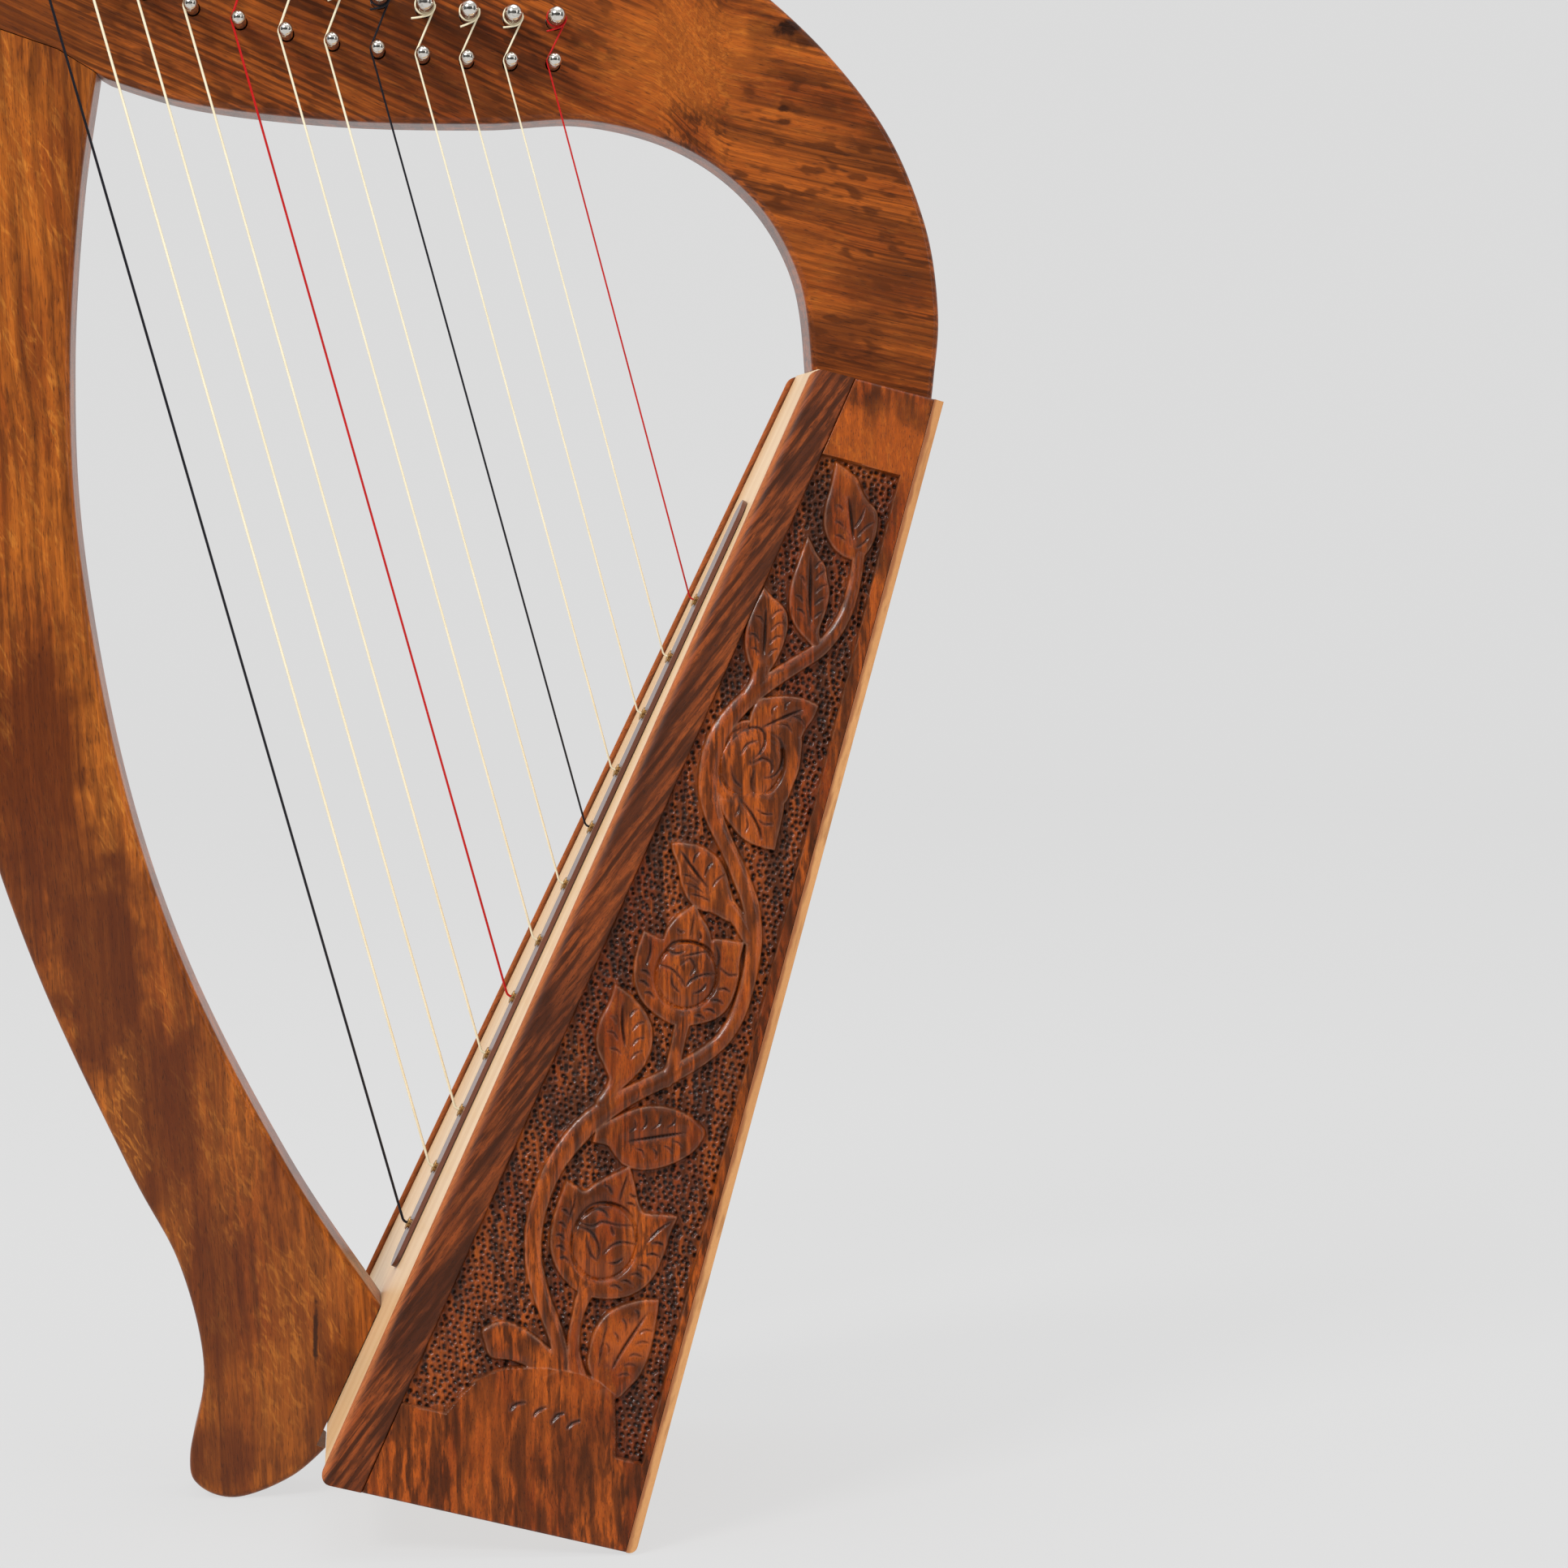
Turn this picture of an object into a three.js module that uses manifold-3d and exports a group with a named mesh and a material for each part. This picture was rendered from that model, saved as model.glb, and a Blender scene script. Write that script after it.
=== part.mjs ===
// Twelve-string Celtic lap harp with a carved soundbox, as separate pieces.
//
// Millimetres, +Z up. X runs from the pillar (-X) to the back of the soundbox (+X) and Y
// runs across the harp, with the strings on the -Y face of the neck, the player's left. The
// harp stands as it does on a table, on the pillar's foot and the soundbox's lower back
// edge; the origin is on that table, under the middle of the harp.

import * as THREE from "three";
import { mergeVertices } from "three/addons/utils/BufferGeometryUtils.js";
import Module from "manifold-3d";

const wasm = await Module();
wasm.setup();

// ---- Driving dimensions ----------------------------------------------------------------

const GAP = 0.3; // glue line or running clearance between neighbours
const OVER = 10; // how far a blank or a cutter runs past what it is trimmed to

const PLATE = 25; // thickness of neck and pillar
const PLATE_EDGE = 2; // rounding of their long edges

const BOX_LEAN = THREE.MathUtils.degToRad(15.7); // of the soundbox's back, off vertical
const BOX_FOOT_X = 62.1; // where its lower back edge stands
const BOX_LENGTH = 362; // measured up the back
const DEPTH_BOTTOM = 97.5;
const DEPTH_TOP = 41.8;
const END_SLOPE = THREE.MathUtils.degToRad(1.6); // both ends drop a little to the front
const HALF_BOTTOM = 89; // half widths, outside
const HALF_TOP = 36;
const BACK_THICK = 3;
const WALL = 8; // side panels and front rails
const RAIL_DEPTH = 13.2;
const RAIL_LIP = 4; // the part of a rail that stands beside the soundboard
const RAIL_ROUND = 3;
const BOARD_RECESS = 1.8; // soundboard below the rails' front edges
const BOARD_THICK = 3;
const BOTTOM_BOARD = 12;
const CARVED_DEPTH = 2.2;

const SOUND_HOLES = [
  { height: 86, radius: 31 },
  { height: 166, radius: 27 },
  { height: 236, radius: 22 },
];

const RIB = { from: 50, to: 320, width: 14, thick: 1.4 };
const INNER_RIB = { from: 56, to: 326, width: 12, thick: 5 };

const STRINGS = 12;
const FIRST_FOOT = 64.5; // up the soundboard, from its lower end
const FOOT_PITCH = 19.98;
const STRING_LEAN = THREE.MathUtils.degToRad(15.75); // off vertical, towards the pillar
const THICKEST_STRING = 0.85; // diameters, from bass to treble
const THINNEST_STRING = 0.55;
const STRING_RISE = 1.2; // how far outside its eyelet a string turns
const STRING_SIDES = 8;
const STRING_END = 5; // behind the inner rib, where its knot is

const EYELET = { flange: 2.25, outer: 1.5, inner: 1, lip: 0.5, depth: 3 };

const BRIDGE_PIN = { radius: 2, groove: 1.6, tip: -28, groove_y: -21, root: -1 };
const TUNING_PIN = { radius: 2.5, tip: -31, coil_y: -21.5, round_end: 14.5, drive_end: 27 };
const DRIVE_WIDTH = 3.5;
const PIN_CLEARANCE = 0.4;
const TUNING_STEP = 0.5; // each tuning pin stands this far to the right of its bridge pin

// The pins stand on two shallow curves that rise towards the pillar.
const BRIDGE_CURVE = { low: 452.55, at: 28.2, rise: 0.001429 };
const TUNING_CURVE = { low: 466, at: 40.8, rise: 0.00174 };

// ---- Colours and finishes --------------------------------------------------------------

const FINISH = {
  rosewood: { color: 0x96501f, roughness: 0.35, metalness: 0 },
  rail: { color: 0x7c4022, roughness: 0.35, metalness: 0 },
  spruce: { color: 0xecc8a0, roughness: 0.55, metalness: 0 },
  birch: { color: 0xd8ad76, roughness: 0.55, metalness: 0 },
  dark_wood: { color: 0x4a2a1c, roughness: 0.4, metalness: 0 },
  brass: { color: 0xb8935a, roughness: 0.3, metalness: 1 },
  nickel: { color: 0xd5d2cc, roughness: 0.15, metalness: 1 },
  white_nylon: { color: 0xf1e8cc, roughness: 0.4, metalness: 0 },
  red_nylon: { color: 0xc01a22, roughness: 0.35, metalness: 0 },
  black_nylon: { color: 0x1d1a18, roughness: 0.35, metalness: 0 },
};

const BLACK_STRINGS = [1, 8];
const RED_STRINGS = [5, 12];

// ---- Geometry helpers ------------------------------------------------------------------

function solidOf(geometry) {
  const bare = geometry.clone();
  bare.deleteAttribute("normal");
  bare.deleteAttribute("uv");
  const merged = mergeVertices(bare);
  const mesh = new wasm.Mesh({
    numProp: 3,
    vertProperties: new Float32Array(merged.attributes.position.array),
    triVerts: new Uint32Array(merged.index.array),
  });
  return new wasm.Manifold(mesh);
}

function geometryOf(solid) {
  const mesh = solid.getMesh();
  const indexed = new THREE.BufferGeometry();
  indexed.setAttribute("position", new THREE.BufferAttribute(mesh.vertProperties, 3));
  indexed.setIndex(new THREE.BufferAttribute(mesh.triVerts, 1));
  const geometry = indexed.toNonIndexed();
  geometry.computeVertexNormals();
  return geometry;
}

function polygon(points) {
  return new THREE.Shape(points.map(([a, b]) => new THREE.Vector2(a, b)));
}

// A plate whose outline is drawn in X and Z, between two Y planes.
function sidePlate(outline, yLow, yHigh, edge = 0) {
  const geometry = new THREE.ExtrudeGeometry(outline, {
    depth: yHigh - yLow - 2 * edge,
    bevelEnabled: edge > 0,
    bevelThickness: edge,
    bevelSize: edge,
    bevelOffset: -edge,
    bevelSegments: 2,
    curveSegments: 4,
  });
  geometry.rotateX(Math.PI / 2);
  geometry.translate(0, yHigh - edge, 0);
  return geometry;
}

// A plate whose outline is drawn in Y and Z, between two X planes.
function frontPlate(outline, xLow, xHigh) {
  const geometry = new THREE.ExtrudeGeometry(outline, {
    depth: xHigh - xLow,
    bevelEnabled: false,
    curveSegments: 5,
  });
  const axes = new THREE.Matrix4().makeBasis(
    new THREE.Vector3(0, 1, 0),
    new THREE.Vector3(0, 0, 1),
    new THREE.Vector3(1, 0, 0),
  );
  geometry.applyMatrix4(axes);
  geometry.translate(xLow, 0, 0);
  return geometry;
}

// A round piece on an axis along Y, from [radius, y] pairs.
function turned(profile, segments) {
  const points = profile.map(([radius, y]) => new THREE.Vector2(radius, y));
  return new THREE.LatheGeometry(points, segments);
}

function circleHole(x, y, radius) {
  const hole = new THREE.Path();
  hole.absarc(x, y, radius, 0, 2 * Math.PI, true);
  return hole;
}

// A polyline that an extrusion follows with one step for each of its points.
class Route extends THREE.Curve {
  constructor(points) {
    super();
    this.points = points;
  }

  getPoint(t) {
    const place = t * (this.points.length - 1);
    const step = Math.min(Math.floor(place), this.points.length - 2);
    return this.points[step].clone().lerp(this.points[step + 1], place - step);
  }

  getPointAt(u) {
    return this.getPoint(u);
  }

  getTangentAt(u) {
    const reach = 0.25 / (this.points.length - 1);
    const ahead = this.getPoint(Math.min(u + reach, 1));
    const behind = this.getPoint(Math.max(u - reach, 0));
    return ahead.sub(behind).normalize();
  }
}

// ---- Places on the soundbox ------------------------------------------------------------
// The soundbox is built in its own frame: X to the back, Z up its back face, origin at its
// lower back edge. Its front slopes back as it rises, so the soundboard and what is on it
// are built in a second frame, X into the box and Z up the front edge.

const FRONT_SLOPE = Math.atan((DEPTH_BOTTOM - DEPTH_TOP) / BOX_LENGTH);
const FRONT_LENGTH = BOX_LENGTH / Math.cos(FRONT_SLOPE);
const TAPER = (HALF_BOTTOM - HALF_TOP) / BOX_LENGTH;
const FRONT_TAPER = (HALF_BOTTOM - HALF_TOP) / FRONT_LENGTH;

const boxToWorld = new THREE.Matrix4()
  .makeRotationY(BOX_LEAN)
  .setPosition(BOX_FOOT_X, 0, 0);
const frontToBox = new THREE.Matrix4()
  .makeRotationY(FRONT_SLOPE)
  .setPosition(-DEPTH_BOTTOM, 0, 0);
const frontToWorld = boxToWorld.clone().multiply(frontToBox);

function atBox(x, z) {
  const point = new THREE.Vector3(x, 0, z).applyMatrix4(boxToWorld);
  return [point.x, point.z];
}

function atFront(x, z) {
  const point = new THREE.Vector3(x, 0, z).applyMatrix4(frontToWorld);
  return [point.x, point.z];
}

function frontInBox(x, z) {
  const point = new THREE.Vector3(x, 0, z).applyMatrix4(frontToBox);
  return [point.x, point.z];
}

// X in the box frame of a line at a given depth behind the front, at a given height.
function behindFront(depth, height) {
  const front = -DEPTH_BOTTOM + height * Math.tan(FRONT_SLOPE);
  return front + depth / Math.cos(FRONT_SLOPE);
}

// Leans a piece in by the soundbox's taper; side is -1 for left, +1 for right.
function leanIn(geometry, side, taper) {
  const shear = new THREE.Matrix4().makeShear(0, 0, 0, 0, 0, -side * taper);
  return geometry.applyMatrix4(shear);
}

function endDrop(x) {
  return x * Math.tan(END_SLOPE);
}

// Everything between the soundbox's top and bottom planes.
const spanFront = -DEPTH_BOTTOM - OVER;
const boxSpan = solidOf(sidePlate(polygon([
  [spanFront, endDrop(spanFront)],
  [OVER, endDrop(OVER)],
  [OVER, BOX_LENGTH + endDrop(OVER)],
  [spanFront, BOX_LENGTH + endDrop(spanFront)],
]), -HALF_BOTTOM - OVER, HALF_BOTTOM + OVER));

// The tapered space between the two side walls.
function betweenWalls(inset) {
  const low = HALF_BOTTOM - inset + OVER * TAPER;
  const high = HALF_TOP - inset - OVER * TAPER;
  const top = BOX_LENGTH + OVER;
  const outline = polygon([[-low, -OVER], [low, -OVER], [high, top], [-high, top]]);
  return solidOf(frontPlate(outline, spanFront, 0));
}

// ---- Soundbox --------------------------------------------------------------------------

// The carved field's sunk ground, as an outline on the side panel.
function carvedField() {
  const seam = RAIL_DEPTH + 2 * GAP;
  const field = new THREE.Shape();
  field.moveTo(behindFront(seam, 336), 336);
  field.lineTo(-7, 336);
  field.lineTo(-4.6, 26);
  field.lineTo(-13.6, 26);
  field.lineTo(-18.8, 44);
  field.quadraticCurveTo(-31, 49, -46.8, 45);
  field.quadraticCurveTo(-60, 40, -66.4, 26);
  field.lineTo(behindFront(seam, 25.5), 25.5);
  field.closePath();
  return field;
}

function sidePanel(side) {
  const seam = RAIL_DEPTH + GAP;
  const outline = polygon([
    [behindFront(seam, -OVER), -OVER],
    [-BACK_THICK - GAP, -OVER],
    [-BACK_THICK - GAP, BOX_LENGTH + OVER],
    [behindFront(seam, BOX_LENGTH + OVER), BOX_LENGTH + OVER],
  ]);
  const outside = HALF_BOTTOM * side;
  const inside = (HALF_BOTTOM - WALL) * side;
  const ground = (HALF_BOTTOM - CARVED_DEPTH) * side;
  const clear = (HALF_BOTTOM + OVER) * side;
  const wall = sidePlate(outline, Math.min(outside, inside), Math.max(outside, inside));
  const field = sidePlate(carvedField(), Math.min(ground, clear), Math.max(ground, clear));
  const carved = solidOf(wall).intersect(boxSpan).subtract(solidOf(field));
  return leanIn(geometryOf(carved), side, TAPER);
}

function frontRail(side) {
  const section = new THREE.Shape();
  const outside = HALF_BOTTOM * side;
  const lip = (HALF_BOTTOM - RAIL_LIP) * side;
  const inside = (HALF_BOTTOM - WALL) * side;
  const ledge = BOARD_RECESS + BOARD_THICK + GAP;
  section.moveTo(RAIL_ROUND, outside);
  section.quadraticCurveTo(0, outside, 0, outside - RAIL_ROUND * side);
  section.lineTo(0, lip);
  section.lineTo(ledge, lip);
  section.lineTo(ledge, inside);
  section.lineTo(RAIL_DEPTH, inside);
  section.lineTo(RAIL_DEPTH, outside);
  section.closePath();
  const rail = new THREE.ExtrudeGeometry(section, {
    depth: FRONT_LENGTH + 2 * OVER,
    bevelEnabled: false,
    curveSegments: 4,
  });
  rail.translate(0, 0, -OVER);
  leanIn(rail, side, FRONT_TAPER).applyMatrix4(frontToBox);
  return geometryOf(solidOf(rail).intersect(boxSpan));
}

function footHeight(index) {
  return FIRST_FOOT + FOOT_PITCH * index;
}

function stringHoles(shape, radius) {
  for (let index = 0; index < STRINGS; index += 1) {
    shape.holes.push(circleHole(0, footHeight(index), radius));
  }
  return shape;
}

function boardHalf(height) {
  return HALF_BOTTOM - FRONT_TAPER * height - RAIL_LIP - GAP;
}

const POST = { low: 8, high: 32, half: 6, deep: 17 }; // tenon on the pillar's foot

function soundboard() {
  const low = -OVER;
  const high = FRONT_LENGTH + OVER;
  const outline = stringHoles(polygon([
    [-boardHalf(low), low],
    [boardHalf(low), low],
    [boardHalf(high), high],
    [-boardHalf(high), high],
  ]), EYELET.outer + PIN_CLEARANCE);
  const slotHalf = POST.half + GAP;
  outline.holes.push(new THREE.Path([
    new THREE.Vector2(-slotHalf, POST.low - GAP),
    new THREE.Vector2(-slotHalf, POST.high + GAP),
    new THREE.Vector2(slotHalf, POST.high + GAP),
    new THREE.Vector2(slotHalf, POST.low - GAP),
  ]));
  const board = frontPlate(outline, BOARD_RECESS, BOARD_RECESS + BOARD_THICK);
  board.applyMatrix4(frontToBox);
  return geometryOf(solidOf(board).intersect(boxSpan));
}

function roundEndedStrip(rib) {
  const radius = rib.width / 2;
  const strip = new THREE.Shape();
  strip.absarc(0, rib.from + radius, radius, Math.PI, 2 * Math.PI, false);
  strip.absarc(0, rib.to - radius, radius, 0, Math.PI, false);
  strip.closePath();
  return strip;
}

const RIB_TOP = BOARD_RECESS - GAP - RIB.thick;

function stringRib() {
  const strip = stringHoles(roundEndedStrip(RIB), EYELET.outer + PIN_CLEARANCE);
  return frontPlate(strip, RIB_TOP, RIB_TOP + RIB.thick).applyMatrix4(frontToBox);
}

function innerStringRib() {
  const strip = stringHoles(roundEndedStrip(INNER_RIB), EYELET.outer);
  const near = BOARD_RECESS + BOARD_THICK + GAP;
  return frontPlate(strip, near, near + INNER_RIB.thick).applyMatrix4(frontToBox);
}

function backPanel() {
  const outline = polygon([
    [-HALF_BOTTOM, 0],
    [HALF_BOTTOM, 0],
    [HALF_TOP, BOX_LENGTH],
    [-HALF_TOP, BOX_LENGTH],
  ]);
  for (const { height, radius } of SOUND_HOLES) {
    const hole = circleHole(0, height, radius);
    outline.holes.push(new THREE.Path(hole.getPoints(16)));
  }
  return frontPlate(outline, -BACK_THICK, 0);
}

// Trims a block to the space inside the walls and between the soundbox's ends.
function fitInside(block) {
  return block.intersect(betweenWalls(WALL + GAP)).intersect(boxSpan);
}

const INSIDE_BOARD = BOARD_RECESS + BOARD_THICK + GAP;

const FOOT_BLOCK = { height: 44, deep: 26 };

// Bottom board and the block behind the pillar's foot, in one.
function bottomBlock() {
  const { height: riser, deep: riserDeep } = FOOT_BLOCK;
  const outline = polygon([
    [behindFront(INSIDE_BOARD, -OVER), -OVER],
    [-BACK_THICK - GAP, -OVER],
    [-BACK_THICK - GAP, BOTTOM_BOARD],
    [behindFront(INSIDE_BOARD + riserDeep, BOTTOM_BOARD), BOTTOM_BOARD],
    [behindFront(INSIDE_BOARD + riserDeep, riser), riser],
    [behindFront(INSIDE_BOARD, riser), riser],
  ]);
  const block = solidOf(sidePlate(outline, -HALF_BOTTOM, HALF_BOTTOM));
  const slotHalf = POST.half + GAP;
  const mortise = sidePlate(polygon([
    frontInBox(BOARD_RECESS, POST.low - GAP),
    frontInBox(BOARD_RECESS + POST.deep + GAP, POST.low - GAP),
    frontInBox(BOARD_RECESS + POST.deep + GAP, POST.high + GAP),
    frontInBox(BOARD_RECESS, POST.high + GAP),
  ]), -slotHalf, slotHalf);
  return geometryOf(fitInside(block).subtract(solidOf(mortise)));
}

const NECK_TENON = { front: -31, back: -13, half: 5, deep: 15 };
const TOP_BLOCK = 24;

function tenonOutline(clearance) {
  const low = BOX_LENGTH - NECK_TENON.deep - clearance;
  const high = BOX_LENGTH + OVER;
  return [
    [NECK_TENON.front - clearance, low],
    [NECK_TENON.back + clearance, low],
    [NECK_TENON.back + clearance, high],
    [NECK_TENON.front - clearance, high],
  ];
}

function topBlock() {
  const low = BOX_LENGTH - TOP_BLOCK;
  const outline = polygon([
    [behindFront(INSIDE_BOARD, low), low],
    [-BACK_THICK - GAP, low],
    [-BACK_THICK - GAP, BOX_LENGTH + OVER],
    [behindFront(INSIDE_BOARD, BOX_LENGTH + OVER), BOX_LENGTH + OVER],
  ]);
  const block = solidOf(sidePlate(outline, -HALF_TOP - OVER, HALF_TOP + OVER));
  const half = NECK_TENON.half + GAP;
  const mortise = solidOf(sidePlate(polygon(tenonOutline(GAP)), -half, half));
  return geometryOf(fitInside(block).subtract(mortise));
}

// ---- String run ------------------------------------------------------------------------

function heightOn(curve, x) {
  return curve.low + curve.rise * (curve.at - x) ** 2;
}

function stringRun(index) {
  const diameter = THREE.MathUtils.lerp(THICKEST_STRING, THINNEST_STRING, index / (STRINGS - 1));
  const bend = RIB_TOP - GAP - EYELET.lip - STRING_RISE;
  const [footX, footZ] = atFront(bend, footHeight(index));
  let bridgeZ = BRIDGE_CURVE.low;
  let bridgeX = 0;
  for (let pass = 0; pass < 6; pass += 1) {
    bridgeX = footX - (bridgeZ - footZ) * Math.tan(STRING_LEAN);
    bridgeZ = heightOn(BRIDGE_CURVE, bridgeX);
  }
  const offBridge = BRIDGE_PIN.groove + GAP + diameter / 2;
  const bridge = new THREE.Vector2(bridgeX + offBridge * Math.cos(STRING_LEAN), bridgeZ);
  const tuningX = bridge.x + TUNING_STEP;
  const tuning = new THREE.Vector2(tuningX, heightOn(TUNING_CURVE, tuningX));
  const foot = new THREE.Vector3(footX, 0, footZ);
  return { index, diameter, foot, bridge, tuning, offBridge };
}

// From its knot behind the inner rib, out through the eyelet, round the left of the bridge
// pin and up to the right of the tuning pin.
function stringGeometry(run) {
  const offTuning = TUNING_PIN.radius + GAP + run.diameter / 2;
  const between = run.tuning.clone().sub(run.bridge);
  const crossing = Math.asin((run.offBridge + offTuning) / between.length());
  const upward = Math.atan2(between.x, between.y) + crossing;
  const knotDepth = INSIDE_BOARD + INNER_RIB.thick + STRING_END;
  const [knotX, knotZ] = atFront(knotDepth, footHeight(run.index));
  const points = [new THREE.Vector3(knotX, 0, knotZ), run.foot];
  const arcSteps = 4;
  for (let step = 0; step <= arcSteps; step += 1) {
    const turn = THREE.MathUtils.lerp(-STRING_LEAN, upward, step / arcSteps);
    points.push(new THREE.Vector3(
      run.bridge.x - run.offBridge * Math.cos(turn),
      BRIDGE_PIN.groove_y,
      run.bridge.y + run.offBridge * Math.sin(turn),
    ));
  }
  points.push(new THREE.Vector3(
    run.tuning.x + offTuning * Math.cos(upward),
    TUNING_PIN.coil_y,
    run.tuning.y - offTuning * Math.sin(upward),
  ));
  const section = new THREE.Shape();
  for (let corner = 0; corner < STRING_SIDES; corner += 1) {
    const angle = (corner / STRING_SIDES) * 2 * Math.PI;
    const x = (run.diameter / 2) * Math.cos(angle);
    const y = (run.diameter / 2) * Math.sin(angle);
    if (corner === 0) section.moveTo(x, y);
    else section.lineTo(x, y);
  }
  section.closePath();
  return new THREE.ExtrudeGeometry(section, {
    steps: points.length - 1,
    extrudePath: new Route(points),
  });
}

function eyelet() {
  const top = RIB_TOP - GAP - EYELET.lip;
  const profile = [
    [EYELET.inner, top],
    [EYELET.flange, top],
    [EYELET.flange, top + EYELET.lip],
    [EYELET.outer, top + EYELET.lip],
    [EYELET.outer, top + EYELET.depth],
    [EYELET.inner, top + EYELET.depth],
    [EYELET.inner, top],
  ];
  return turned(profile, 10).rotateZ(-Math.PI / 2);
}

function bridgePin() {
  const { radius, groove, tip, groove_y: grooveY, root } = BRIDGE_PIN;
  const profile = [
    [0, tip],
    [radius * 0.6, tip + radius * 0.2],
    [radius * 0.92, tip + radius * 0.6],
    [radius, tip + radius],
    [radius, grooveY - 1.4],
    [groove, grooveY - 0.8],
    [groove, grooveY + 0.8],
    [radius, grooveY + 1.4],
    [radius, root],
    [0, root],
  ];
  return turned(profile, 10);
}

function tuningPin() {
  const { radius, tip, round_end: roundEnd, drive_end: driveEnd } = TUNING_PIN;
  const profile = [
    [0, tip],
    [radius * 0.6, tip + radius * 0.2],
    [radius * 0.92, tip + radius * 0.6],
    [radius, tip + radius],
    [radius, roundEnd],
    [DRIVE_WIDTH / 2, roundEnd + 1.5],
    [0, roundEnd + 1.5],
  ];
  const driveFrom = roundEnd - 1; // sunk in the round part
  const drive = new THREE.BoxGeometry(DRIVE_WIDTH, driveEnd - driveFrom, DRIVE_WIDTH);
  drive.translate(0, (driveEnd + driveFrom) / 2, 0);
  return geometryOf(solidOf(turned(profile, 12)).add(solidOf(drive)));
}

// ---- Neck and pillar -------------------------------------------------------------------

// The joint between them, from outside to inside, falls towards the strings.
const JOINT = [[-176, 475], [-113.4, 454.6], [-100.3, 446.8], [-84, 437.1]];
const TONGUE = { outer: -142, inner: -112, half: 4, deep: 24 };

// The region above (+1) or below (-1) the joint, taken half a gap past it.
function besideJoint(direction) {
  const edge = JOINT.map(([x, z]) => [x, z - (direction * GAP) / 2]);
  const far = direction > 0 ? 600 : 380;
  const outline = polygon([...edge, [edge[3][0], far], [edge[0][0], far]]);
  return solidOf(sidePlate(outline, -PLATE, PLATE));
}

function tongueOutline(clearance) {
  return polygon([
    [TONGUE.outer - clearance, 440],
    [TONGUE.inner + clearance, 440],
    [TONGUE.inner + clearance, 454 + TONGUE.deep + clearance],
    [TONGUE.outer - clearance, 463 + TONGUE.deep + clearance],
  ]);
}

function neckOutline() {
  const neck = new THREE.Shape();
  neck.moveTo(-100.8, 446.5);
  neck.splineThru([
    new THREE.Vector2(-71.5, 438.5),
    new THREE.Vector2(-27, 434.2),
    new THREE.Vector2(18, 434),
    new THREE.Vector2(50, 435.6),
    new THREE.Vector2(80, 428),
    new THREE.Vector2(103, 411.5),
    new THREE.Vector2(117, 388),
    new THREE.Vector2(121.3, 360),
    new THREE.Vector2(121, 340),
  ]);
  neck.lineTo(157.5, 330);
  neck.splineThru([
    new THREE.Vector2(160.4, 356),
    new THREE.Vector2(161.6, 378),
    new THREE.Vector2(156.8, 406),
    new THREE.Vector2(142.5, 437),
    new THREE.Vector2(116, 467),
    new THREE.Vector2(83, 490.5),
    new THREE.Vector2(44, 503.5),
    new THREE.Vector2(-8, 506.5),
    new THREE.Vector2(-47, 511.3),
    new THREE.Vector2(-86, 526.5),
    new THREE.Vector2(-124, 542.3),
    new THREE.Vector2(-148, 546),
    new THREE.Vector2(-160.6, 536),
    new THREE.Vector2(-160.6, 519),
    new THREE.Vector2(-154.5, 495),
    new THREE.Vector2(-152.5, 468),
    new THREE.Vector2(-153.5, 430),
  ]);
  neck.lineTo(-103.5, 430);
  neck.closePath();
  return neck;
}

function pillarOutline() {
  const pillar = new THREE.Shape();
  pillar.moveTo(-100.5, 455);
  pillar.splineThru([
    new THREE.Vector2(-101.6, 446.8),
    new THREE.Vector2(-107, 408),
    new THREE.Vector2(-110, 356),
    new THREE.Vector2(-107.4, 300),
    new THREE.Vector2(-94.7, 229),
    new THREE.Vector2(-74.6, 167.7),
    new THREE.Vector2(-43.5, 106),
    new THREE.Vector2(-15, 62.3),
    new THREE.Vector2(-8, 52),
  ]);
  pillar.lineTo(-23, 18);
  pillar.lineTo(-29.2, 17.8);
  pillar.splineThru([
    new THREE.Vector2(-42.2, 6.5),
    new THREE.Vector2(-59.6, 0),
    new THREE.Vector2(-71.6, 4),
    new THREE.Vector2(-74.4, 14),
    new THREE.Vector2(-70, 42),
    new THREE.Vector2(-77.5, 75),
    new THREE.Vector2(-93.3, 106.1),
    new THREE.Vector2(-121.3, 168),
    new THREE.Vector2(-141, 229),
    new THREE.Vector2(-153.3, 300),
    new THREE.Vector2(-155.6, 356),
    new THREE.Vector2(-154.4, 415),
    new THREE.Vector2(-152.5, 468),
  ]);
  pillar.lineTo(-153, 490);
  pillar.closePath();
  return pillar;
}

function yHole(x, z, radius, from, to) {
  const drill = new THREE.CylinderGeometry(radius, radius, to - from, 12);
  return solidOf(drill.translate(x, (from + to) / 2, z));
}

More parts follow.
